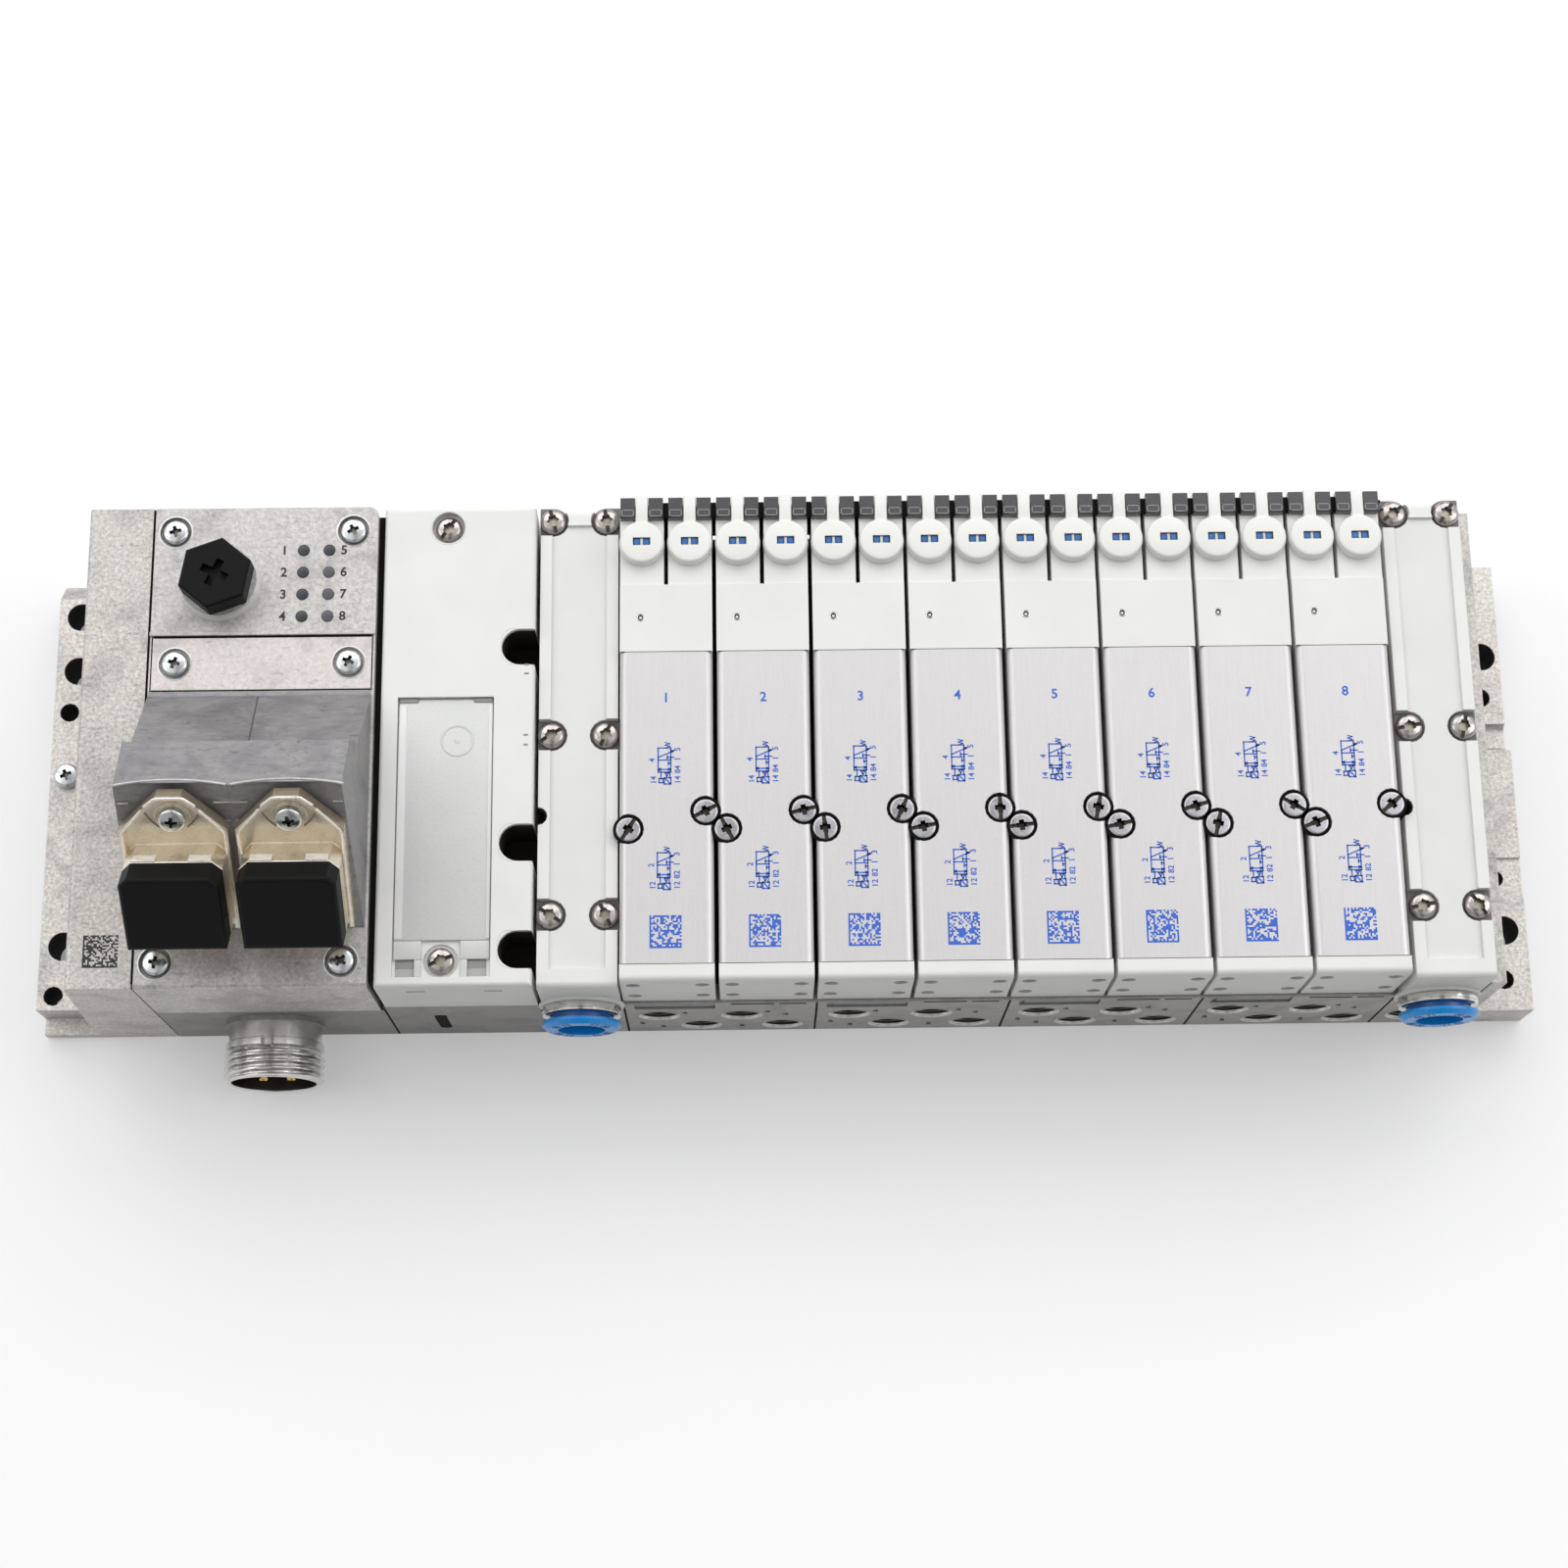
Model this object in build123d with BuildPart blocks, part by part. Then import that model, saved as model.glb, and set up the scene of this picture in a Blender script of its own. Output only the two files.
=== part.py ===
from build123d import *
from math import cos, radians, sin, tan
import os

# Modular valve island: a row of slices bolted between two end plates.
# X runs along the row, -Y is the side with the ports, +Z is up, millimetres.
# The origin is the middle of the base face.

# Two socket frames side by side set the width of the bus node
frame_width = 22.2
frame_gap = 1.6
frame_margin_left = 0.575
frame_margin_right = 2.175
node_gap_left = 0.35
node_gap_right = 0.9

# The label window and the strip beside it set the width of the interface
window_x = 4.2
window_span_x = 20.7
window_margin_right = 9.1

# Slices of the row, from left to right
flange_left_reach = 15.6
left_wall_width = 14.0
node_width = (node_gap_left + frame_margin_left + 2 * frame_width + frame_gap
              + frame_margin_right + node_gap_right)
interface_width = window_x + window_span_x + window_margin_right
supply_width = 18.0
valve_pitch = 21.0
valves_per_base = 2
base_count = 4
right_wall_width = 3.2
flange_right_reach = 13.6
base_width = valve_pitch * valves_per_base
valve_count = base_count * valves_per_base

x_flange_left = -(flange_left_reach + left_wall_width + node_width + interface_width
                  + 2 * supply_width + base_count * base_width
                  + right_wall_width + flange_right_reach) / 2
x_left_wall = x_flange_left + flange_left_reach
x_node = x_left_wall + left_wall_width
x_interface = x_node + node_width
x_supply_left = x_interface + interface_width
x_valves = x_supply_left + supply_width
x_supply_right = x_valves + base_count * base_width
x_right_wall = x_supply_right + supply_width
x_right_flange = x_right_wall + right_wall_width
x_flange_right = x_right_flange + flange_right_reach

# Strip, hood and sloping face of the bus node, from back to front, set the depth of the row
node_top = 52.0
strip_back_margin = 29.85
strip_length = 12.0
hood_gap = 1.35
hood_ramp_length = 14.6
hood_step_length = 2.0
hood_block_length = 11.4
hood_edge_z = 80.0
face_tilt = 40.0
hood_front_margin = 12.605
hood_drop = hood_edge_z - node_top
face_length = hood_drop * tan(radians(face_tilt))
row_depth = (strip_back_margin + strip_length + hood_gap + hood_ramp_length + hood_step_length
             + hood_block_length + face_length + hood_front_margin)
y_back = row_depth / 2
y_front = -row_depth / 2

# Small rounds that repeat often are drawn with few sides
round_sides = 16
head_sides = 12
shank_sides = 8

# Heights shared by the slices
base_height = 30.2
gasket_thickness = 0.3
valve_bottom = base_height + gasket_thickness
valve_top = 51.0
cover_gap = 0.45
fit_gap = 0.1

# Ports in the front of the double sub-bases, each drilled a little deeper than the one before
port_bore_radius = 4.28
port_depth = 9.0
port_depth_step = 0.6
port_first_x = 7.4
port_pitch_x = 9.1
ports_per_base = 4
port_low_z = 6.7
port_high_z = 17.1
base_label_width = 17.6
base_label_height = 5.4
base_label_x = 2.2
base_label_z = 24.2
base_label_recess = 0.6
groove_height = 1.1
groove_z = 28.4

# Valves: metal cover, rear pilot housing with two heads, front cap
valve_gap = 0.9
valve_width = valve_pitch - valve_gap
pilot_seat_depth = 33.8
cover_front_setback = 0.6
end_cap_thickness = 3.7
cover_edge_radius = 1.6
cover_back_y = y_back - pilot_seat_depth
y_cap_front = y_front + cover_front_setback
y_cover_front = y_cap_front + end_cap_thickness
cover_length = cover_back_y - y_cover_front
cover_middle_y = (cover_back_y + y_cover_front) / 2
end_cap_edge_radius = 1.3
end_cap_dimple_radius = 1.6
end_cap_dimple_depth = 0.8
end_cap_dimple_x = 2.7
end_cap_dimple_low_z = 36.0
end_cap_dimple_high_z = 46.6
pilot_overhang = 0.55
pilot_back_y = y_back + pilot_overhang
pilot_edge_chamfer = 0.5
head_length = 18.9
head_front_y = pilot_back_y - head_length
head_top = 50.6
head_slot_floor = 33.0
head_pitch = valve_pitch / 2
head_width = (valve_width - valve_gap) / 2
heads_per_valve = 2
vent_x = 4.5
vent_y = cover_back_y + 7.85
vent_radius = 0.9
vent_depth = 1.2

# Manual override on every head: a cap with a window and a sprung plunger
override_y = pilot_back_y - 9.6
override_cap_radius = 4.95
override_cap_height = 2.6
window_width = 3.8
window_depth = 1.75
tongue_width = 2.7
tongue_overhang = 1.4
tongue_height = 2.0
plunger_gap = 0.15
plunger_recess = 0.35
plunger_travel = 1.0
plunger_collar_lip = 0.5
plunger_collar_height = 1.4
plunger_stem_width = 1.8
plunger_stem_length = 4.0
plunger_notch_width = 0.7
plunger_notch_depth = 0.35
plunger_bore_gap = 0.2

# Status light blocks beside the tongue
lens_width = 3.2
lens_length = 4.7
lens_overhang = 0.8
lens_back_y = pilot_back_y + lens_overhang
lens_front_y = lens_back_y - lens_length
lens_height = 1.9
lens_edge_chamfer = 0.5
lens_gap = 0.12

# Two captive screws hold each valve, one in each long edge of its cover
valve_screw_a = (1.9, cover_middle_y - 5.2)
valve_screw_b = (valve_width - 1.7, cover_middle_y - 1.3)
valve_screw_head_radius = 2.75
valve_screw_head_height = 2.6
valve_screw_shank_radius = 1.25
valve_screw_length = 12.0
valve_screw_pocket_radius = 3.35

# Supply plates with their push-in fittings
supply_top = 48.6
supply_channel_width = 12.0
supply_channel_depth = 0.8
supply_channel_end_margin = 4.0
supply_channel_back_y = y_back - 3.45
supply_screw_x = 3.1
supply_back_screw_y = y_back - 2.25
supply_screw_rows = (supply_back_screw_y, 2.0, y_front + 15.75)
supply_pocket_radius = 3.5
supply_pocket_depth = 1.9
supply_notch_y = cover_middle_y - 1.45
supply_notch_radius = 2.0
supply_notch_depth = 6.0
supply_port_z = 9.6
supply_port_radius = 5.72
supply_port_depth = 12.0
supply_port_offset = 1.0
fitting_z = 30.0
fitting_boss_radius = 8.4
fitting_boss_reach = 0.7
fitting_boss_depth = 26.0
sleeve_rim_radius = 8.6
sleeve_rim_length = 2.0
sleeve_tube_radius = 7.4
sleeve_tube_length = 12.0
sleeve_bore_radius = 6.9
ring_flange_radius = 8.55
ring_flange_length = 1.6
ring_flange_chamfer = 0.9
ring_travel = 1.0
ring_stop_gap = 0.3
ring_gap = ring_travel + ring_stop_gap
ring_neck_radius = 6.6
ring_neck_length = 8.0
tube_bore_radius = 5.1
tube_seat_depth = 20.0

# Bus node: lower block, upper housing, cover strip, hood with two sockets
node_split_z = 26.5
node_edge_radius = 1.0
node_corner_radius = 2.0
node_screw_inset_x = 4.9
node_screw_inset_y = 5.5
node_screw_right_inset = 5.4
node_pocket_radius = 3.5
node_pocket_depth = 1.5
strip_back_y = y_back - strip_back_margin
strip_margin = 0.725
strip_thickness = 2.0
strip_gap = 0.3
strip_screw_inset = 4.9
strip_screw_pocket_depth = 1.2
lip_width = 0.9
lip_height = 0.5
light_insets = (16.1, 10.5)
light_rows = 4
light_first_y = y_back - 10.05
light_pitch = 5.08
light_radius = 1.25
light_depth = 1.5
plug_x = 15.1
plug_y = y_back - 17.65
plug_boss_radius = 8.6
plug_boss_height = 2.6
plug_across_flats = 14.2
plug_height = 5.0
plug_turn = 20.0
plug_recess_turn = 45.0
plug_recess_length = 6.2
plug_recess_width = 1.7
plug_recess_depth = 1.6
plug_edge_chamfer = 0.4

# The hood is a wedge whose front face carries the two inclined sockets
hood_start_y = strip_back_y - strip_length - hood_gap
hood_ramp_top_y = hood_start_y - hood_ramp_length
hood_ramp_top_z = node_top + 13.5
hood_block_back_y = hood_ramp_top_y - hood_step_length
hood_block_back_z = hood_edge_z - 6.6
hood_edge_y = hood_block_back_y - hood_block_length
hood_foot_y = y_front + hood_front_margin
hood_right_draft = 1.7
hood_side_inset = 0.5
scallop_radius = 46.0
scallop_depth = 1.5
scallop_length = 9.0
scallop_width = frame_width + 0.8

# Socket frames, measured down the hood's front face from its top edge
frame_pitch = frame_width + frame_gap
frame_apex_drop = 0.9
frame_apex_flat = 5.2
frame_shoulder_drop = 9.2
frame_foot_drop = 34.3
frame_flange_thickness = 1.3
frame_rim_width = 1.0
frame_rim_height = 1.5
collar_top_drop = 13.6
collar_bottom_drop = 31.6
collar_side_margin = 0.9
collar_width = frame_width - 2 * collar_side_margin
collar_reach = 8.0
collar_wall = 1.4
collar_corner = 1.9
collar_tab_width = 4.7
collar_tab_spacing = 11.4
collar_tab_length = 1.4
collar_tab_height = 0.35
socket_depth = 10.0
socket_back_wall = 1.5
jack_width = 11.8
jack_height = 7.2
frame_screw_drop = 7.0

# Dust caps push into the sockets
cap_gap = 0.3
cap_seat_gap = 0.05
cap_reach = 6.0
cap_plug_length = 5.5
cap_edge_radius = 0.9

# Power connector on the lower block
power_x = 24.0
power_z = 12.6
power_boss_radius = 10.9
power_boss_reach = 0.9
power_neck_radius = 10.3
power_neck_reach = 6.6
power_thread_radius = 11.0
power_reach = 12.6
power_wall = 1.7
power_cup_depth = 8.2
power_pin_count = 5
power_pin_radius = 1.15
power_pin_circle = 5.3
power_pin_length = 6.6
power_pin_root = 3.0
power_insert_gap = 0.05

# Pneumatic interface with its label window
interface_top = 51.0
interface_edge_radius = 0.9
window_span_y = 61.6
window_front_y = y_front + 2.05
window_back_y = window_front_y + window_span_y
window_recess = 1.6
interface_screw_x = 14.4
interface_screw_rows = (y_back - 4.65, window_front_y + 3.6)
interface_pocket_radius = 3.7
interface_pocket_depth = 2.2
bar_length = 8.0
label_length = window_span_y - bar_length
label_thickness = 0.9
label_gap = 0.25
bar_slot_length = 3.6
bar_slot_width = 1.2
bar_slot_spacing = 15.0
bar_slot_depth = 1.0
notch_reach = 7.2
notch_width = 8.2
notch_rows = (y_back - 32.35, -22.6, y_front + 7.75)
notch_depth = 14.0
notch_corner = 2.6
front_slot_width = 3.9
front_slot_height = 0.9
front_slot_spacing = 16.3
front_slot_z = 45.7
front_slot_depth = 1.0
side_slot_height = 9.0
side_slot_width = 1.6
side_slot_x = 11.3
side_slot_z = 16.0
side_slot_lean = 10.0

# End plates with their mounting flanges
flange_thickness = 12.0
plate_wall_draft = 3.2
plate_top_radius = 1.0
flange_front_margin = 3.8
flange_back_margin = 1.9
flange_back_chamfer = 4.5
foot_height = 3.0
mount_hole_radius = 3.25
mount_hole_x_inset = 5.1
mount_hole_back_y = y_back - 23.95
mount_hole_front_y = y_front + 18.35
spare_hole_y = y_back - 10.85
ground_hole_radius = 2.2
ground_hole_x_inset_left = 3.6
ground_hole_x_inset_right = 6.0
ground_hole_back_y = y_back - 33.95
ground_hole_front_y = y_front + 7.05
ground_hole_rim = 1.0
ground_screw_y = 4.3
ground_screw_x_inset = 4.0
right_wall_top = 42.0
right_step_y = 7.2
right_step_reach = 0.9
channel_y = 10.3
channel_width = 6.2
channel_depth = 1.6
recess_back_y = -18.4
recess_length = 9.2
recess_depth = 0.8
recess_hole_y = -23.1
recess_hole_radius = 1.9

# Pan-head screws that hold the housings
pan_head_radius = 2.9
pan_head_height = 2.2
pan_shank_radius = 1.5
pan_shank_length = 6.0
shank_hole_gap = 0.1


def rectangle_between(x_low, x_high, y_low, y_high):
    """Add a rectangle to the open sketch, given by its sides."""
    with Locations(((x_low + x_high) / 2, (y_low + y_high) / 2)):
        Rectangle(x_high - x_low, y_high - y_low)


def facets(radius, sides):
    """Add a small round to the open sketch, drawn with few sides."""
    RegularPolygon(radius, sides)


def save(part, name):
    part.label = name
    export_step(part, f"parts/{name}.step")


def front_plane(x, z, y=y_front):
    """A plane that faces the front of the row, with local y upwards."""
    return Plane(origin=(x, y, z), x_dir=(1, 0, 0), z_dir=(0, -1, 0))


os.makedirs("parts", exist_ok=True)

# Where the valves and the heads stand along the row
valve_starts = [x_valves + valve_pitch * index for index in range(valve_count)]
head_centres = [start + head_width / 2 + head_pitch * side
                for start in valve_starts for side in range(heads_per_valve)]
valve_screw_spots = [(start + offset_x, offset_y) for start in valve_starts
                     for offset_x, offset_y in (valve_screw_a, valve_screw_b)]


# The rings round all valve screws, which also reach into the neighbouring pieces
screw_seat = valve_top - valve_screw_head_height
with BuildSketch(Plane.XY.offset(screw_seat)) as screw_pockets:
    with Locations(*valve_screw_spots):
        facets(valve_screw_pocket_radius, round_sides)


# Double sub-bases, each with four threaded ports in its front
def make_sub_base(start):
    with BuildPart() as sub_base:
        with BuildSketch():
            rectangle_between(start, start + base_width, y_front, y_back)
        extrude(amount=base_height)
        for index in range(ports_per_base):
            port_z = port_high_z if index % 2 == 0 else port_low_z
            with BuildSketch(front_plane(start + port_first_x + port_pitch_x * index, port_z)):
                Circle(port_bore_radius)
            extrude(amount=-port_depth - port_depth_step * index, mode=Mode.SUBTRACT)
        with BuildSketch(front_plane(start, 0)):
            rectangle_between(base_label_x, base_label_x + base_label_width,
                              base_label_z, base_label_z + base_label_height)
            rectangle_between(valve_pitch + vent_x / 2, base_width - vent_x / 2,
                              groove_z, groove_z + groove_height)
        extrude(amount=-base_label_recess, mode=Mode.SUBTRACT)
    return sub_base.part


for number in range(base_count):
    save(make_sub_base(x_valves + base_width * number), f"sub_base_{number + 1}")


# Flat gaskets between the valves and the sub-bases
with BuildPart() as valve_gaskets:
    with BuildSketch(Plane.XY.offset(base_height)):
        for start in valve_starts:
            rectangle_between(start, start + valve_width, y_cap_front, y_back)
    extrude(amount=gasket_thickness)
save(valve_gaskets.part, "valve_gaskets")


# Metal valve covers with rounded long edges and the screw pockets
def make_valve_body(start):
    middle = start + valve_width / 2
    section = Plane(origin=(middle, cover_back_y, valve_bottom),
                    x_dir=(1, 0, 0), z_dir=(0, -1, 0))
    with BuildPart() as valve_body:
        with BuildSketch(section):
            with Locations((0, (valve_top - valve_bottom) / 2)):
                Rectangle(valve_width, valve_top - valve_bottom)
        extrude(amount=cover_length)
        long_edges = valve_body.edges().filter_by(Axis.Y).group_by(Axis.Z)[-1]
        fillet(long_edges, cover_edge_radius)
        extrude(screw_pockets.sketch, amount=valve_screw_head_height, mode=Mode.SUBTRACT)
        with BuildSketch(Plane.XY.offset(valve_top)):
            for offset_x, offset_y in (valve_screw_a, valve_screw_b):
                with Locations((start + offset_x, offset_y)):
                    facets(valve_screw_shank_radius + fit_gap, shank_sides)
        extrude(amount=-valve_screw_head_height - valve_screw_length - fit_gap, mode=Mode.SUBTRACT)
    return valve_body.part


for number, start in enumerate(valve_starts, 1):
    save(make_valve_body(start), f"valve_body_{number}")

# White front caps of the valves, each with four round dimples
with BuildPart() as valve_end_caps:
    with BuildSketch(Plane.XY.offset(valve_bottom)):
        for start in valve_starts:
            rectangle_between(start, start + valve_width, y_cap_front, y_cover_front)
    extrude(amount=valve_top - valve_bottom)
    top_edges = valve_end_caps.edges().filter_by(Axis.X).group_by(Axis.Z)[-1]
    fillet(top_edges.group_by(Axis.Y)[0], end_cap_edge_radius)
    dimple_spots = [(start + offset, z) for start in valve_starts
                    for offset in (end_cap_dimple_x, valve_width - end_cap_dimple_x)
                    for z in (end_cap_dimple_low_z, end_cap_dimple_high_z)]
    with BuildSketch(front_plane(0, 0, y_cap_front)):
        with Locations(*dimple_spots):
            facets(end_cap_dimple_radius, shank_sides)
    extrude(amount=-end_cap_dimple_depth, mode=Mode.SUBTRACT)
save(valve_end_caps.part, "valve_end_caps")

# Rear pilot housings: a flat front part and two heads with a slot between
plunger_bottom = head_top - plunger_collar_height - plunger_stem_length
collar_plate_width = window_width + 2 * plunger_collar_lip
collar_plate_depth = window_depth + 2 * plunger_collar_lip
with BuildPart() as pilot_heads:
    with BuildSketch(Plane.XY.offset(valve_bottom)):
        for start in valve_starts:
            rectangle_between(start, start + valve_width, cover_back_y, pilot_back_y)
    extrude(amount=head_top - valve_bottom)
    with BuildSketch(Plane.XY.offset(head_top)):
        for start in valve_starts:
            rectangle_between(start, start + valve_width, cover_back_y, head_front_y)
    extrude(amount=valve_top - head_top)
    with BuildSketch(Plane.XY.offset(head_slot_floor)):
        for start in valve_starts:
            rectangle_between(start + head_width, start + head_pitch, head_front_y, pilot_back_y)
    extrude(amount=head_top - head_slot_floor, mode=Mode.SUBTRACT)
    with BuildSketch(Plane.XY.offset(valve_top)):
        for start in valve_starts:
            with Locations((start + vent_x, vent_y)):
                facets(vent_radius, shank_sides)
    extrude(amount=-vent_depth, mode=Mode.SUBTRACT)
    with BuildSketch(Plane.XY.offset(head_top)):
        for centre in head_centres:
            with Locations((centre, override_y)):
                Rectangle(collar_plate_width + 2 * plunger_bore_gap,
                          collar_plate_depth + 2 * plunger_bore_gap)
    extrude(amount=plunger_bottom - plunger_travel - head_top - fit_gap, mode=Mode.SUBTRACT)
    back_edges = pilot_heads.edges().filter_by(Axis.X).group_by(Axis.Y)[-1]
    chamfer(back_edges.group_by(Axis.Z)[-1], pilot_edge_chamfer)
save(pilot_heads.part, "pilot_heads")

# Override caps: a round cap with a window, and a tongue to the back
with BuildPart() as override_caps:
    with BuildSketch(Plane.XY.offset(head_top)):
        for centre in head_centres:
            with Locations((centre, override_y)):
                facets(override_cap_radius, round_sides)
    extrude(amount=override_cap_height)
    with BuildSketch(Plane.XY.offset(head_top)):
        for centre in head_centres:
            rectangle_between(centre - tongue_width / 2, centre + tongue_width / 2,
                              override_y, pilot_back_y + tongue_overhang)
    extrude(amount=tongue_height)
    with BuildSketch(Plane.XY.offset(head_top)):
        for centre in head_centres:
            with Locations((centre, override_y)):
                Rectangle(window_width, window_depth)
    extrude(amount=override_cap_height, mode=Mode.SUBTRACT)
save(override_caps.part, "override_caps")


# The sprung plungers that show in the windows of the caps
def make_plunger(centre):
    window_top = head_top + override_cap_height - plunger_recess
    with BuildPart() as plunger:
        with BuildSketch(Plane.XY.offset(plunger_bottom)):
            with Locations((centre, override_y)):
                Rectangle(plunger_stem_width, plunger_stem_width)
        extrude(amount=plunger_stem_length)
        with BuildSketch(Plane.XY.offset(head_top - plunger_collar_height)):
            with Locations((centre, override_y)):
                Rectangle(collar_plate_width, collar_plate_depth)
        extrude(amount=plunger_collar_height - fit_gap)
        with BuildSketch(Plane.XY.offset(head_top - fit_gap)):
            with Locations((centre, override_y)):
                Rectangle(window_width - 2 * plunger_gap, window_depth - 2 * plunger_gap)
        extrude(amount=window_top - head_top + fit_gap)
        with BuildSketch(Plane.XY.offset(window_top)):
            with Locations((centre, override_y)):
                Rectangle(plunger_notch_width, window_depth)
        extrude(amount=-plunger_notch_depth, mode=Mode.SUBTRACT)
    return plunger.part


for number, centre in enumerate(head_centres, 1):
    save(make_plunger(centre), f"override_plunger_{number:02d}")

# Dark status light blocks on both sides of each tongue
lens_offset = tongue_width / 2 + lens_gap
with BuildPart() as lens_blocks:
    with BuildSketch(Plane.XY.offset(head_top)):
        for centre in head_centres:
            rectangle_between(centre - lens_offset - lens_width, centre - lens_offset,
                              lens_front_y, lens_back_y)
            rectangle_between(centre + lens_offset, centre + lens_offset + lens_width,
                              lens_front_y, lens_back_y)
    extrude(amount=lens_height)
    lens_top = lens_blocks.edges().filter_by(Axis.X).group_by(Axis.Z)[-1]
    chamfer(lens_top.group_by(Axis.Y)[0], lens_edge_chamfer)
save(lens_blocks.part, "lens_blocks")

# Captive valve screws
with BuildPart() as valve_screws:
    with BuildSketch(Plane.XY.offset(screw_seat)):
        with Locations(*valve_screw_spots):
            facets(valve_screw_head_radius, head_sides)
    extrude(amount=valve_screw_head_height)
    with BuildSketch(Plane.XY.offset(screw_seat)):
        with Locations(*valve_screw_spots):
            facets(valve_screw_shank_radius, shank_sides)
    extrude(amount=-valve_screw_length)
save(valve_screws.part, "valve_screws")


# Supply plates: grey base with a threaded port, white cover with a push-in fitting
def supply_middle(start):
    return start + supply_width / 2


def make_supply_base(start):
    middle = supply_middle(start)
    with BuildPart() as supply_base:
        with BuildSketch():
            rectangle_between(start, start + supply_width, y_front, y_back)
        extrude(amount=base_height)
        with BuildSketch(front_plane(middle, fitting_z)):
            Circle(fitting_boss_radius + fit_gap)
        extrude(amount=-fitting_boss_depth - fit_gap, mode=Mode.SUBTRACT)
        with BuildSketch(front_plane(middle - supply_port_offset, supply_port_z)):
            Circle(supply_port_radius)
        extrude(amount=-supply_port_depth, mode=Mode.SUBTRACT)
    return supply_base.part


def half_open_pockets(start):
    """Add the screw pockets of a supply plate, each open to the plate's nearer side."""
    for x, side in ((start + supply_screw_x, start),
                    (start + supply_width - supply_screw_x, start + supply_width)):
        for y in supply_screw_rows:
            back = y_back if y == supply_back_screw_y else y + supply_pocket_radius
            with Locations((x, y)):
                facets(supply_pocket_radius, round_sides)
            rectangle_between(min(x, side), max(x, side), y - supply_pocket_radius, back)


def make_supply_cover(start):
    middle = supply_middle(start)
    left = start + cover_gap
    right = start + supply_width - cover_gap
    screw_spots = [(x, y) for x in (start + supply_screw_x, start + supply_width - supply_screw_x)
                   for y in supply_screw_rows]
    with BuildPart() as supply_cover:
        with BuildSketch(Plane.XY.offset(base_height)):
            rectangle_between(left, right, y_front, y_back)
        extrude(amount=supply_top - base_height)
        front_edges = supply_cover.edges().filter_by(Axis.X).group_by(Axis.Z)[-1]
        fillet(front_edges, end_cap_edge_radius)
        with BuildSketch(front_plane(middle, fitting_z)):
            Circle(fitting_boss_radius)
        extrude(amount=-fitting_boss_depth)
        with BuildSketch(front_plane(middle, fitting_z)):
            Circle(fitting_boss_radius)
        extrude(amount=fitting_boss_reach)
        with BuildSketch(Plane.XY.offset(supply_top)):
            rectangle_between(middle - supply_channel_width / 2, middle + supply_channel_width / 2,
                              y_front + supply_channel_end_margin, supply_channel_back_y)
        extrude(amount=-supply_channel_depth, mode=Mode.SUBTRACT)
        with BuildSketch(Plane.XY.offset(supply_top)):
            half_open_pockets(start)
        extrude(amount=-supply_pocket_depth, mode=Mode.SUBTRACT)
        with BuildSketch(Plane.XY.offset(supply_top)):
            with Locations(*screw_spots):
                facets(pan_shank_radius + shank_hole_gap, shank_sides)
        extrude(amount=-supply_pocket_depth - pan_shank_length - fit_gap, mode=Mode.SUBTRACT)
        with BuildSketch(Plane.XY.offset(supply_top)):
            with Locations((left, supply_notch_y)):
                facets(supply_notch_radius, head_sides)
        extrude(amount=-supply_notch_depth, mode=Mode.SUBTRACT)
        with BuildSketch(front_plane(middle, fitting_z, y_front - fitting_boss_reach)):
            Circle(sleeve_tube_radius + fit_gap)
        extrude(amount=-sleeve_tube_length - fit_gap, mode=Mode.SUBTRACT)
        with BuildSketch(front_plane(middle, fitting_z, y_front - fitting_boss_reach)):
            Circle(tube_bore_radius)
        extrude(amount=-tube_seat_depth, mode=Mode.SUBTRACT)
        extrude(screw_pockets.sketch, amount=valve_screw_head_height, mode=Mode.SUBTRACT)
    return supply_cover.part


for side, start in (("left", x_supply_left), ("right", x_supply_right)):
    save(make_supply_base(start), f"supply_{side}_base")
    save(make_supply_cover(start), f"supply_{side}_cover")

# Nickel sleeves of the push-in fittings
sleeve_back_y = y_front - fitting_boss_reach
sleeve_front_y = sleeve_back_y - sleeve_rim_length
fitting_spots = [(supply_middle(start), fitting_z) for start in (x_supply_left, x_supply_right)]
with BuildPart() as fitting_sleeves:
    with BuildSketch(front_plane(0, 0, sleeve_back_y)):
        with Locations(*fitting_spots):
            Circle(sleeve_rim_radius)
    extrude(amount=sleeve_rim_length)
    with BuildSketch(front_plane(0, 0, sleeve_back_y)):
        with Locations(*fitting_spots):
            Circle(sleeve_tube_radius)
    extrude(amount=-sleeve_tube_length)
    with BuildSketch(front_plane(0, 0, sleeve_front_y)):
        with Locations(*fitting_spots):
            Circle(sleeve_bore_radius)
    extrude(amount=-sleeve_rim_length - sleeve_tube_length, mode=Mode.SUBTRACT)
save(fitting_sleeves.part, "fitting_sleeves")


# Release rings: pressed in, they free the tube
def make_release_ring(start):
    flange_front_y = sleeve_front_y - ring_gap - ring_flange_length
    with BuildPart() as ring:
        with BuildSketch(front_plane(supply_middle(start), fitting_z, flange_front_y)):
            Circle(ring_flange_radius)
        extrude(amount=-ring_flange_length)
        front_rim = ring.edges().filter_by(GeomType.CIRCLE).group_by(Axis.Y)[0]
        chamfer(front_rim, ring_flange_chamfer)
        with BuildSketch(front_plane(supply_middle(start), fitting_z,
                                     flange_front_y + ring_flange_length)):
            Circle(ring_neck_radius)
        extrude(amount=-ring_gap - ring_neck_length)
        with BuildSketch(front_plane(supply_middle(start), fitting_z, flange_front_y)):
            Circle(tube_bore_radius)
        extrude(amount=-ring_flange_length - ring_gap - ring_neck_length, mode=Mode.SUBTRACT)
    return ring.part


for side, start in (("left", x_supply_left), ("right", x_supply_right)):
    save(make_release_ring(start), f"release_ring_{side}")

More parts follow.
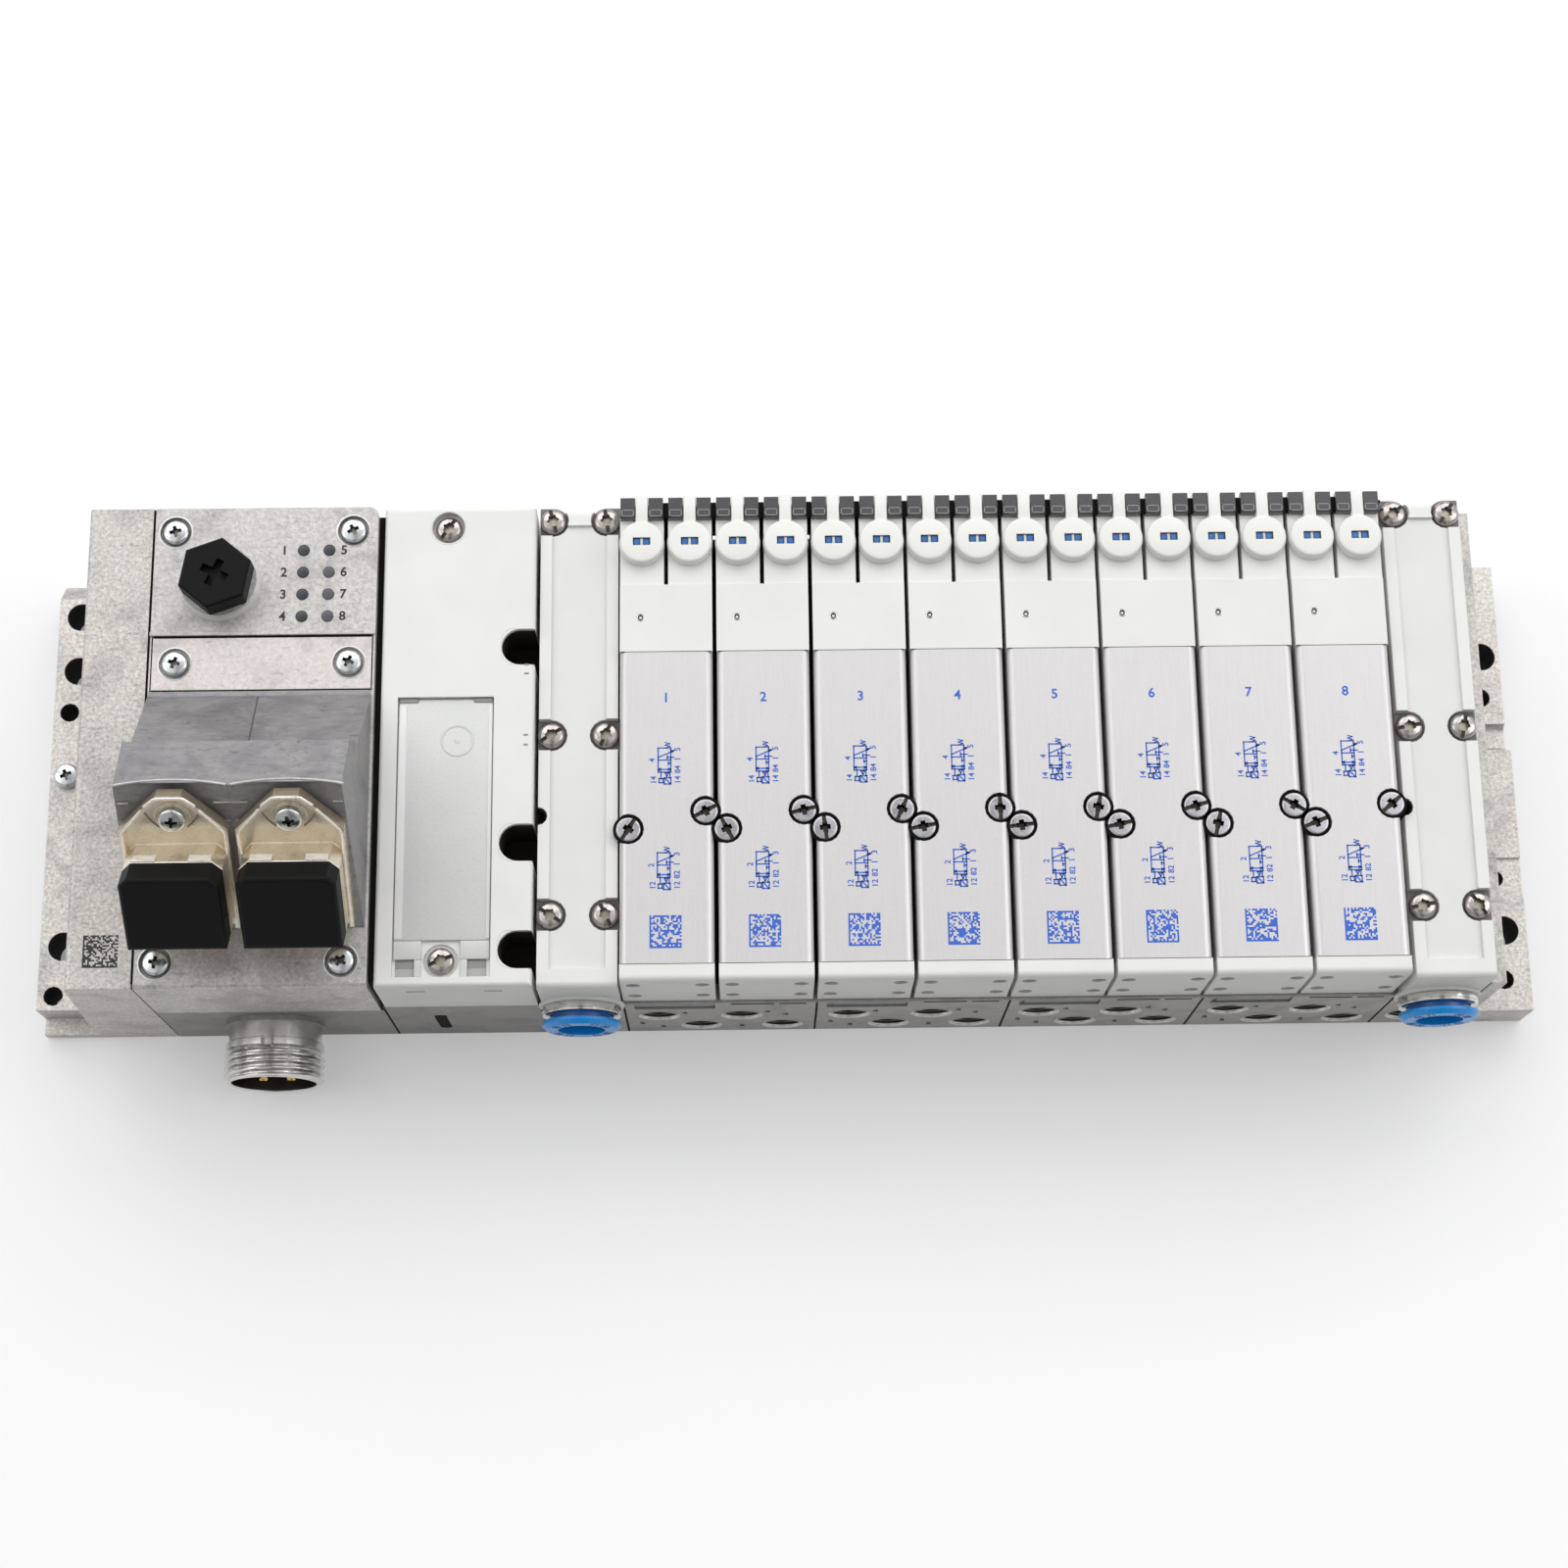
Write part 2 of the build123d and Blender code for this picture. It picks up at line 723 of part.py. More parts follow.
# Lower block of the bus node with the root of the power connector
power_spot_x = x_node + power_x
with BuildPart() as interlinking_block:
    with BuildSketch():
        rectangle_between(x_node + node_gap_left, x_node + node_width, y_front, y_back)
    extrude(amount=node_split_z)
    with BuildSketch(front_plane(power_spot_x, power_z)):
        Circle(power_boss_radius)
    extrude(amount=power_boss_reach)
save(interlinking_block.part, "interlinking_block")

# Threaded shell of the power connector
power_root_y = y_front - power_boss_reach
power_rim_y = power_root_y - power_reach
with BuildPart() as power_connector_shell:
    with BuildSketch(front_plane(power_spot_x, power_z, power_root_y)):
        Circle(power_neck_radius)
    extrude(amount=power_neck_reach)
    with BuildSketch(front_plane(power_spot_x, power_z, power_root_y - power_neck_reach)):
        Circle(power_thread_radius)
    extrude(amount=power_reach - power_neck_reach)
    with BuildSketch(front_plane(power_spot_x, power_z, power_rim_y)):
        Circle(power_thread_radius - power_wall)
    extrude(amount=-power_reach, mode=Mode.SUBTRACT)
save(power_connector_shell.part, "power_connector_shell")

# Insulating insert at the bottom of the shell, with the pins in it
insert_front_y = power_rim_y + power_cup_depth
pin_spots = PolarLocations(power_pin_circle, power_pin_count, start_angle=90)
with BuildPart() as power_connector_insert:
    with BuildSketch(front_plane(power_spot_x, power_z, insert_front_y)):
        Circle(power_thread_radius - power_wall - power_insert_gap)
    extrude(amount=-(power_reach - power_cup_depth))
    with BuildSketch(front_plane(power_spot_x, power_z, insert_front_y)):
        with pin_spots:
            facets(power_pin_radius, head_sides)
    extrude(amount=-power_pin_root, mode=Mode.SUBTRACT)
save(power_connector_insert.part, "power_connector_insert")

with BuildPart() as power_pins:
    with BuildSketch(front_plane(power_spot_x, power_z, insert_front_y + power_pin_root)):
        with pin_spots:
            facets(power_pin_radius, head_sides)
    extrude(amount=power_pin_root + power_pin_length)
save(power_pins.part, "power_pins")


# Shapes of the inclined sockets, placed on the hood's front face
first_frame_x = x_node + node_gap_left + frame_margin_left + frame_width / 2
frame_centres = [first_frame_x, first_frame_x + frame_pitch]


def face_plane(centre, proud=0.0):
    """A plane on the hood's front face, local y up the face, or proud of it."""
    normal = Vector(0, -cos(radians(face_tilt)), sin(radians(face_tilt)))
    origin = Vector(centre, hood_edge_y, hood_edge_z) + normal * proud
    return Plane(origin=origin, x_dir=(1, 0, 0), z_dir=normal)


def collar_outline(plane, shrink=0.0):
    """The collar's rectangle with its two cut top corners, made smaller by shrink."""
    half = collar_width / 2
    top = -collar_top_drop
    bottom = -collar_bottom_drop
    corner = collar_corner
    with BuildSketch(plane) as outline:
        with BuildLine():
            Polyline((-half, bottom), (half, bottom), (half, top - corner), (half - corner, top),
                     (corner - half, top), (-half, top - corner), close=True)
        make_face()
        if shrink:
            offset(amount=-shrink, kind=Kind.INTERSECTION)
    return outline.sketch


def frame_outline(plane, rim=False):
    """The house-shaped outline of a socket frame, or only its raised rim, open at the foot."""
    half = frame_width / 2
    flat = frame_apex_flat / 2
    with BuildSketch(plane) as outline:
        with BuildLine():
            Polyline((-half, -frame_foot_drop), (half, -frame_foot_drop),
                     (half, -frame_shoulder_drop), (flat, -frame_apex_drop),
                     (-flat, -frame_apex_drop), (-half, -frame_shoulder_drop), close=True)
        make_face()
        if rim:
            offset(amount=-frame_rim_width, kind=Kind.INTERSECTION, mode=Mode.SUBTRACT)
            with Locations((0, -frame_foot_drop)):
                Rectangle(frame_width - 2 * frame_rim_width, 2 * frame_rim_width, mode=Mode.SUBTRACT)
    return outline.sketch


# Upper housing of the bus node
node_left = x_node + node_gap_left
node_right = x_node + node_width - node_gap_right
strip_left = node_left + strip_margin
strip_width = node_right - node_left - 2 * strip_margin
node_screw_spots = [(x, y) for x in (x_node + node_screw_inset_x, node_right - node_screw_right_inset)
                    for y in (y_back - node_screw_inset_y, y_front + node_screw_inset_y)]
strip_middle_y = strip_back_y - strip_length / 2
strip_screw_spots = [(x, strip_middle_y) for x in (strip_left + strip_screw_inset,
                                                   strip_left + strip_width - strip_screw_inset)]
light_spots = [(node_right - inset, light_first_y - light_pitch * row)
               for inset in light_insets for row in range(light_rows)]
strip_floor = node_top - strip_thickness
with BuildPart() as bus_node_housing:
    with BuildSketch(Plane.XY.offset(node_split_z)):
        rectangle_between(node_left, node_right, y_front, y_back)
    extrude(amount=node_top - node_split_z)
    back_right = bus_node_housing.edges().filter_by(Axis.Z).sort_by(Axis.X)[-2:].sort_by(Axis.Y)[-1]
    fillet(back_right, node_corner_radius)
    front_top = bus_node_housing.edges().filter_by(Axis.X).group_by(Axis.Z)[-1].sort_by(Axis.Y)[0]
    fillet(front_top, node_edge_radius)
    with BuildSketch(Plane.XY.offset(node_top)):
        rectangle_between(node_left, node_right, strip_back_y + strip_gap,
                          strip_back_y + strip_gap + lip_width)
    extrude(amount=lip_height)
    with BuildSketch(Plane.XY.offset(node_top)):
        rectangle_between(strip_left - strip_gap, strip_left + strip_width + strip_gap,
                          strip_back_y - strip_length - strip_gap, strip_back_y + strip_gap)
    extrude(amount=-strip_thickness, mode=Mode.SUBTRACT)
    with BuildSketch(Plane.XY.offset(node_top)):
        with Locations(*node_screw_spots):
            facets(node_pocket_radius, round_sides)
    extrude(amount=-node_pocket_depth, mode=Mode.SUBTRACT)
    with BuildSketch(Plane.XY.offset(node_top)):
        with Locations(*node_screw_spots, *strip_screw_spots):
            facets(pan_shank_radius + shank_hole_gap, shank_sides)
    extrude(amount=-strip_thickness - pan_shank_length - fit_gap, mode=Mode.SUBTRACT)
    with BuildSketch(Plane.XY.offset(node_top)):
        with Locations((x_node + plug_x, plug_y)):
            Circle(plug_boss_radius)
    extrude(amount=plug_boss_height)
    with BuildSketch(Plane.XY.offset(node_top)):
        with Locations(*light_spots):
            facets(light_radius + fit_gap, head_sides)
    extrude(amount=-light_depth, mode=Mode.SUBTRACT)
    for centre in frame_centres:
        extrude(collar_outline(face_plane(centre), -fit_gap),
                amount=-socket_depth - socket_back_wall, mode=Mode.SUBTRACT)
save(bus_node_housing.part, "bus_node_housing")

# Cover strip across the housing, with deep pockets for its two screws
with BuildPart() as cover_strip:
    with BuildSketch(Plane.XY.offset(strip_floor)):
        rectangle_between(strip_left, strip_left + strip_width,
                          strip_back_y - strip_length, strip_back_y)
    extrude(amount=strip_thickness)
    with BuildSketch(Plane.XY.offset(node_top)):
        with Locations(*strip_screw_spots):
            facets(node_pocket_radius, round_sides)
    extrude(amount=-strip_screw_pocket_depth, mode=Mode.SUBTRACT)
    with BuildSketch(Plane.XY.offset(node_top)):
        with Locations(*strip_screw_spots):
            facets(pan_shank_radius + shank_hole_gap, shank_sides)
    extrude(amount=-strip_thickness, mode=Mode.SUBTRACT)
save(cover_strip.part, "cover_strip")

# Round status windows
with BuildPart() as status_lenses:
    with BuildSketch(Plane.XY.offset(node_top - light_depth)):
        with Locations(*light_spots):
            facets(light_radius, head_sides)
    extrude(amount=light_depth - fit_gap)
save(status_lenses.part, "status_lenses")

# Black hexagonal plug with a cross recess
plug_bottom = node_top + plug_boss_height
with BuildPart() as hex_plug:
    with BuildSketch(Plane.XY.offset(plug_bottom)):
        with Locations(Location((x_node + plug_x, plug_y), plug_turn)):
            RegularPolygon(plug_across_flats / 2, 6, major_radius=False)
    extrude(amount=plug_height)
    chamfer(hex_plug.edges().group_by(Axis.Z)[-1], plug_edge_chamfer)
    with BuildSketch(Plane.XY.offset(plug_bottom + plug_height)):
        with Locations(Location((x_node + plug_x, plug_y), plug_turn + plug_recess_turn)):
            Rectangle(plug_recess_length, plug_recess_width)
            Rectangle(plug_recess_width, plug_recess_length)
    extrude(amount=-plug_recess_depth, mode=Mode.SUBTRACT)
save(hex_plug.part, "hex_plug")

# The hood: a wedge profile drawn from the side and pulled across the node
hood_left = node_left + fit_gap
hood_right = node_right - hood_side_inset
with BuildPart() as connector_hood:
    with BuildSketch(Plane(origin=(hood_left, 0, 0), x_dir=(0, 1, 0), z_dir=(1, 0, 0))):
        with BuildLine():
            Polyline((hood_start_y, node_top), (hood_ramp_top_y, hood_ramp_top_z),
                     (hood_block_back_y, hood_block_back_z), (hood_edge_y, hood_edge_z),
                     (hood_foot_y, node_top), close=True)
        make_face()
    extrude(amount=hood_right - hood_left)
    draft_start = Vector(hood_right, 0, node_top)
    draft_end = Vector(hood_right - hood_right_draft, 0, hood_edge_z)
    side_normal = Vector(draft_end.Z - draft_start.Z, 0, draft_start.X - draft_end.X)
    side_plane = Plane(origin=draft_start, x_dir=(0, 1, 0), z_dir=side_normal)
    split(bisect_by=side_plane, keep=Keep.BOTTOM)
    for centre in frame_centres:
        extrude(collar_outline(face_plane(centre), -fit_gap),
                amount=-socket_depth - socket_back_wall, mode=Mode.SUBTRACT)
    for centre in frame_centres:
        scallop_plane = Plane(origin=face_plane(centre).from_local_coords((0, fit_gap, 0)),
                              x_dir=(1, 0, 0), z_dir=face_plane(centre).y_dir * -1)
        with BuildSketch(scallop_plane):
            with Locations((0, scallop_radius - scallop_depth)):
                Circle(scallop_radius)
            with Locations((0, scallop_depth)):
                Rectangle(scallop_width, 4 * scallop_depth, mode=Mode.INTERSECT)
        extrude(amount=scallop_length, mode=Mode.SUBTRACT)
    with BuildSketch(face_plane(0, frame_flange_thickness)):
        for centre in frame_centres:
            with Locations((centre, -frame_screw_drop)):
                facets(pan_shank_radius + shank_hole_gap, shank_sides)
    extrude(amount=-frame_flange_thickness - pan_shank_length - fit_gap, mode=Mode.SUBTRACT)
save(connector_hood.part, "connector_hood")


# Socket frames: house-shaped flange, raised rim, and a collar round the socket
def make_plug_frame(centre):
    with BuildPart() as frame:
        extrude(frame_outline(face_plane(centre)), amount=frame_flange_thickness)
        extrude(frame_outline(face_plane(centre, frame_flange_thickness), rim=True),
                amount=frame_rim_height)
        extrude(collar_outline(face_plane(centre)), amount=collar_reach)
        extrude(collar_outline(face_plane(centre)), amount=-socket_depth - socket_back_wall)
        with BuildSketch(face_plane(centre, collar_reach)):
            for side in (-1, 1):
                with Locations((side * collar_tab_spacing / 2, -collar_top_drop)):
                    Rectangle(collar_tab_width, 2 * collar_tab_height)
        extrude(amount=-collar_tab_length)
        extrude(collar_outline(face_plane(centre, collar_reach), collar_wall),
                amount=-collar_reach - socket_depth, mode=Mode.SUBTRACT)
        with BuildSketch(face_plane(centre, -socket_depth)):
            with Locations((0, -(collar_top_drop + collar_bottom_drop) / 2)):
                Rectangle(jack_width, jack_height)
        extrude(amount=-socket_back_wall, mode=Mode.SUBTRACT)
        with BuildSketch(face_plane(centre, frame_flange_thickness)):
            with Locations((0, -frame_screw_drop)):
                facets(pan_shank_radius + shank_hole_gap, shank_sides)
        extrude(amount=-frame_flange_thickness, mode=Mode.SUBTRACT)
    return frame.part


# Dust caps: a cover as wide as the collar and a plug inside it
def make_dust_cap(centre):
    cover_back = collar_reach + cap_seat_gap
    with BuildPart() as cap:
        extrude(collar_outline(face_plane(centre, cover_back)), amount=cap_reach)
        front_face = cap.faces().sort_by(Axis((0, 0, 0), face_plane(centre).z_dir))[-1]
        fillet(front_face.edges(), cap_edge_radius)
        extrude(collar_outline(face_plane(centre, cover_back), collar_wall + cap_gap),
                amount=-cap_plug_length)
    return cap.part


for side, centre in zip(("left", "right"), frame_centres):
    save(make_plug_frame(centre), f"plug_frame_{side}")
    save(make_dust_cap(centre), f"dust_cap_{side}")

# Pneumatic interface: grey base and white cover with three open notches
interface_left = x_interface + cover_gap
interface_right = x_interface + interface_width - cover_gap
interface_screw_spots = [(x_interface + interface_screw_x, y) for y in interface_screw_rows]
with BuildPart() as interface_base:
    with BuildSketch():
        rectangle_between(x_interface, x_interface + interface_width, y_front, y_back)
    extrude(amount=base_height)
    with BuildSketch(front_plane(x_interface + side_slot_x, 0)):
        with Locations(Location((0, side_slot_z), -side_slot_lean)):
            SlotOverall(side_slot_height, side_slot_width, rotation=90)
    extrude(amount=-bar_slot_depth, mode=Mode.SUBTRACT)
save(interface_base.part, "interface_base")

window_left = x_interface + window_x
window_right = window_left + window_span_x
bar_middle_y = window_front_y + bar_length / 2
with BuildPart() as interface_cover:
    with BuildSketch(Plane.XY.offset(base_height)):
        rectangle_between(interface_left, interface_right, y_front, y_back)
    extrude(amount=interface_top - base_height)
    outer_top = interface_cover.faces().sort_by(Axis.Z)[-1]
    fillet(outer_top.edges(), interface_edge_radius)
    with BuildSketch(Plane.XY.offset(interface_top)):
        rectangle_between(window_left, window_right, window_front_y, window_back_y)
    extrude(amount=-window_recess, mode=Mode.SUBTRACT)
    with BuildSketch(Plane.XY.offset(interface_top)):
        with Locations(*interface_screw_spots):
            facets(interface_pocket_radius, round_sides)
    extrude(amount=-interface_pocket_depth, mode=Mode.SUBTRACT)
    with BuildSketch(Plane.XY.offset(interface_top)):
        with Locations(*interface_screw_spots):
            facets(pan_shank_radius + shank_hole_gap, shank_sides)
    extrude(amount=-interface_pocket_depth - pan_shank_length - fit_gap, mode=Mode.SUBTRACT)
    with BuildSketch(Plane.XY.offset(interface_top - window_recess)):
        for side in (-1, 1):
            with Locations((x_interface + interface_screw_x + side * bar_slot_spacing / 2, bar_middle_y)):
                Rectangle(bar_slot_length, bar_slot_width)
    extrude(amount=-bar_slot_depth, mode=Mode.SUBTRACT)
    with BuildSketch(Plane.XY.offset(interface_top)):
        for row in notch_rows:
            with Locations((interface_right, row)):
                RectangleRounded(2 * notch_reach, notch_width, notch_corner)
    extrude(amount=-notch_depth, mode=Mode.SUBTRACT)
    with BuildSketch(front_plane(x_interface + interface_width / 2, front_slot_z)):
        for side in (-1, 1):
            with Locations((side * front_slot_spacing / 2, 0)):
                Rectangle(front_slot_width, front_slot_height)
    extrude(amount=-front_slot_depth, mode=Mode.SUBTRACT)
save(interface_cover.part, "interface_cover")

with BuildPart() as label_window:
    with BuildSketch(Plane.XY.offset(interface_top - window_recess)):
        rectangle_between(window_left + label_gap, window_right - label_gap,
                          window_back_y - label_length, window_back_y - label_gap)
    extrude(amount=label_thickness)
save(label_window.part, "label_window")


# End plates: a wall beside the row and a flange with the mounting holes
with BuildPart() as left_end_plate:
    with BuildSketch(Plane(origin=(0, y_back, 0), x_dir=(1, 0, 0), z_dir=(0, -1, 0))):
        with BuildLine():
            Polyline((x_node, 0), (x_node, node_top), (x_left_wall, node_top),
                     (x_left_wall - plate_wall_draft, flange_thickness),
                     (x_left_wall - plate_wall_draft, 0), close=True)
        make_face()
    extrude(amount=row_depth)
    outer_top = left_end_plate.edges().filter_by(Axis.Y).group_by(Axis.Z)[-1].sort_by(Axis.X)[0]
    fillet(outer_top, plate_top_radius)
    with BuildSketch():
        rectangle_between(x_flange_left, x_left_wall,
                          y_front + flange_front_margin, y_back - flange_back_margin)
    extrude(amount=flange_thickness)
    lug_edges = left_end_plate.edges().filter_by(Axis.X).group_by(Axis.Y)[-2]
    chamfer(lug_edges.sort_by(Axis.Z)[-1], flange_back_chamfer)
    with BuildSketch():
        rectangle_between(x_flange_left, x_left_wall, y_front, y_front + flange_front_margin)
    extrude(amount=foot_height)
    with BuildSketch(Plane.XY.offset(flange_thickness)):
        with Locations((x_flange_left + ground_hole_x_inset_left, ground_hole_front_y)):
            facets(ground_hole_radius + ground_hole_rim, round_sides)
    extrude(amount=-flange_thickness)
    big_rows = (spare_hole_y, mount_hole_back_y, mount_hole_front_y)
    with BuildSketch(Plane.XY.offset(flange_thickness)):
        with Locations(*[(x_flange_left + mount_hole_x_inset, y) for y in big_rows]):
            Circle(mount_hole_radius)
        with Locations(*[(x_flange_left + ground_hole_x_inset_left, y)
                         for y in (ground_hole_back_y, ground_hole_front_y)]):
            facets(ground_hole_radius, head_sides)
        with Locations((x_flange_left + ground_screw_x_inset, ground_screw_y)):
            facets(pan_shank_radius + shank_hole_gap, shank_sides)
    extrude(amount=-flange_thickness, mode=Mode.SUBTRACT)
save(left_end_plate.part, "left_end_plate")

with BuildPart() as right_end_plate:
    with BuildSketch():
        rectangle_between(x_right_wall, x_right_flange, y_front, y_back)
    extrude(amount=right_wall_top)
    with BuildSketch():
        rectangle_between(x_right_flange, x_flange_right - right_step_reach,
                          right_step_y, y_back - flange_back_margin)
        rectangle_between(x_right_flange, x_flange_right, y_front, right_step_y)
    extrude(amount=flange_thickness)
    with BuildSketch(Plane(origin=(x_right_flange, channel_y, flange_thickness),
                           x_dir=(0, 1, 0), z_dir=(1, 0, 0))):
        SlotOverall(channel_width, 2 * channel_depth)
    extrude(amount=flange_right_reach, mode=Mode.SUBTRACT)
    with BuildSketch(Plane.XY.offset(flange_thickness)):
        rectangle_between(x_right_flange, x_flange_right, recess_back_y - recess_length, recess_back_y)
    extrude(amount=-recess_depth, mode=Mode.SUBTRACT)
    with BuildSketch(Plane.XY.offset(flange_thickness)):
        with Locations(*[(x_flange_right - mount_hole_x_inset, y)
                         for y in (mount_hole_back_y, mount_hole_front_y)]):
            Circle(mount_hole_radius)
        with Locations(*[(x_flange_right - ground_hole_x_inset_right, y)
                         for y in (ground_hole_back_y, ground_hole_front_y)]):
            facets(ground_hole_radius, head_sides)
        with Locations((x_flange_right - ground_hole_x_inset_right, recess_hole_y)):
            facets(recess_hole_radius, head_sides)
    extrude(amount=-flange_thickness, mode=Mode.SUBTRACT)
save(right_end_plate.part, "right_end_plate")

# All screws of the housings in one group
supply_screw_spots = [(x, y) for start in (x_supply_left, x_supply_right)
                      for x in (start + supply_screw_x, start + supply_width - supply_screw_x)
                      for y in supply_screw_rows]
ground_screw_spot = (x_flange_left + ground_screw_x_inset, ground_screw_y)
screw_groups = (
    (Plane.XY.offset(node_top - node_pocket_depth), node_screw_spots),
    (Plane.XY.offset(node_top - strip_screw_pocket_depth), strip_screw_spots),
    (Plane.XY.offset(interface_top - interface_pocket_depth), interface_screw_spots),
    (Plane.XY.offset(supply_top - supply_pocket_depth), supply_screw_spots),
    (Plane.XY.offset(flange_thickness), [ground_screw_spot]),
    (face_plane(0, frame_flange_thickness),
     [(centre, -frame_screw_drop) for centre in frame_centres]),
)
with BuildPart() as housing_screws:
    for seat, spots in screw_groups:
        with BuildSketch(seat):
            with Locations(*spots):
                facets(pan_head_radius, head_sides)
        extrude(amount=pan_head_height)
        with BuildSketch(seat):
            with Locations(*spots):
                facets(pan_shank_radius, shank_sides)
        extrude(amount=-pan_shank_length)
save(housing_screws.part, "housing_screws")
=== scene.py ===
import math
import random

import bmesh
import bpy
from mathutils import Matrix, Vector


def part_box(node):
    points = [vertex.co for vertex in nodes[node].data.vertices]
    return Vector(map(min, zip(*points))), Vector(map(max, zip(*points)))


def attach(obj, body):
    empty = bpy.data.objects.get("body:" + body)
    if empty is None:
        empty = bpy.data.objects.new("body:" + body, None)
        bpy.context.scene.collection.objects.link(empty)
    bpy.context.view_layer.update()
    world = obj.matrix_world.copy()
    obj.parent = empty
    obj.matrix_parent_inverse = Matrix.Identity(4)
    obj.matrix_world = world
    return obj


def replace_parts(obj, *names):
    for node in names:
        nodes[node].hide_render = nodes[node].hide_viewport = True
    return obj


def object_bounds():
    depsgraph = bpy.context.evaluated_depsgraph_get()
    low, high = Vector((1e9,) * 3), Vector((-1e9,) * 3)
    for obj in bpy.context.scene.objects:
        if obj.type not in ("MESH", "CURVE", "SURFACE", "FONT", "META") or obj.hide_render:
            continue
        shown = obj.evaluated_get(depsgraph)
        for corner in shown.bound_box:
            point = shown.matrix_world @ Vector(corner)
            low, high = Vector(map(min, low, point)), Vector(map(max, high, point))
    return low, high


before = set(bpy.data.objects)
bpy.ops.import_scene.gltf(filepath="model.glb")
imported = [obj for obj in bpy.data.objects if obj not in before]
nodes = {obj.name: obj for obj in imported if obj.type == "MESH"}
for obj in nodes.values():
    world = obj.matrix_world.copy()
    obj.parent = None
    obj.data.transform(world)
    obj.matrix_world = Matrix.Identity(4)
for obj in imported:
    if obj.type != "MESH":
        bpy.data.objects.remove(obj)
cad_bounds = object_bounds()

# Everything below is drawn in millimetres and scaled once, when a mesh is made
mm = 0.001
sides = ("left", "right")


def box_mm(node):
    """Lowest and highest corner of a CAD node, in millimetres."""
    low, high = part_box(node)
    return low / mm, high / mm


def centre_mm(node):
    low, high = box_mm(node)
    return (low + high) / 2


# Materials

class Wiring:
    """Short calls for the shader nodes of a material or of the world."""

    def __init__(self, tree):
        self.tree = tree

    def feed(self, node, sockets):
        """Wire outputs to a node's sockets, or set constants on them."""
        for socket, value in sockets.items():
            entry = node.inputs[socket]
            if isinstance(value, bpy.types.NodeSocket):
                self.tree.links.new(value, entry)
            else:
                entry.default_value = (*value, 1) if entry.type == "RGBA" else value

    def add(self, kind, sockets=None, output=0, **settings):
        """Make a node and give back one of its outputs."""
        node = self.tree.nodes.new("ShaderNode" + kind)
        for key, value in settings.items():
            setattr(node, key, value)
        self.feed(node, sockets or {})
        return node.outputs[output]

    def noise(self, size, detail=2.0, rough=0.6, stretch=(1, 1, 1), warp=0.0):
        """Noise fixed to the object, with blots about size millimetres across."""
        place = self.add("Mapping", {"Vector": self.add("TexCoord", output="Object"), "Scale": stretch})
        return self.add("TexNoise", {"Vector": place, "Scale": 1 / (size * mm), "Detail": detail,
                                     "Roughness": rough, "Distortion": warp}, "Fac")

    def ramp(self, factor, *stops):
        """Colours along a factor: each stop is (place, colour)."""
        node = self.tree.nodes.new("ShaderNodeValToRGB")
        self.feed(node, {"Fac": factor})
        elements = node.color_ramp.elements
        while len(elements) < len(stops):
            elements.new(0.5)
        for element, (where, colour) in zip(elements, stops):
            element.position = where
            element.color = (*colour, 1)
        return node.outputs["Color"]

    def tones(self, factor, colour, dark, light):
        """A colour between its darker and its lighter tone."""
        return self.ramp(factor, (0.3, shade(colour, dark)), (0.7, shade(colour, light)))

    def span(self, factor, low, high, start=0.0, end=1.0):
        """A factor from start to end, spread over low to high."""
        return self.add("MapRange", {"Value": factor, "From Min": start, "From Max": end,
                                     "To Min": low, "To Max": high}, "Result")

    def mix(self, factor, first, second, blend="MIX"):
        return self.add("Mix", {"Factor": factor, 6: first, 7: second}, 2, data_type="RGBA", blend_type=blend)

    def bevel(self, radius):
        """The surface's direction as if its edges were round."""
        return self.add("Bevel", {"Radius": radius * mm}, "Normal", samples=4)

    def edge(self, radius):
        """1 on sharp outer and inner edges, 0 elsewhere."""
        flat = self.add("NewGeometry", output="Normal")
        likeness = self.add("VectorMath", {0: self.bevel(radius), 1: flat}, "Value", operation="DOT_PRODUCT")
        return self.span(likeness, 1.0, 0.0, 0.75, 0.995)


class Paint(Wiring):
    """A material with a Principled shader."""

    def __init__(self, name, colour, roughness, metallic=0.0, **sockets):
        self.material = bpy.data.materials.new(name)
        self.material.use_nodes = True
        super().__init__(self.material.node_tree)
        self.shader = self.tree.nodes["Principled BSDF"]
        self.wear(Base_Color=colour, Roughness=roughness, Metallic=metallic, **sockets)

    def wear(self, **sockets):
        """Feed the shader's sockets, with a low line for the space in their names."""
        self.feed(self.shader, {name.replace("_", " "): value for name, value in sockets.items()})

    def finish(self, height, depth, rounding, **sockets):
        """Feed the shader, with a bump of a depth in millimetres over rounded edges."""
        bump = {"Distance": depth * mm, "Height": height, "Normal": self.bevel(rounding)}
        self.wear(Normal=self.add("Bump", bump, "Normal"), **sockets)
        return self.material


def shade(colour, factor):
    return tuple(min(1.0, channel * factor) for channel in colour)


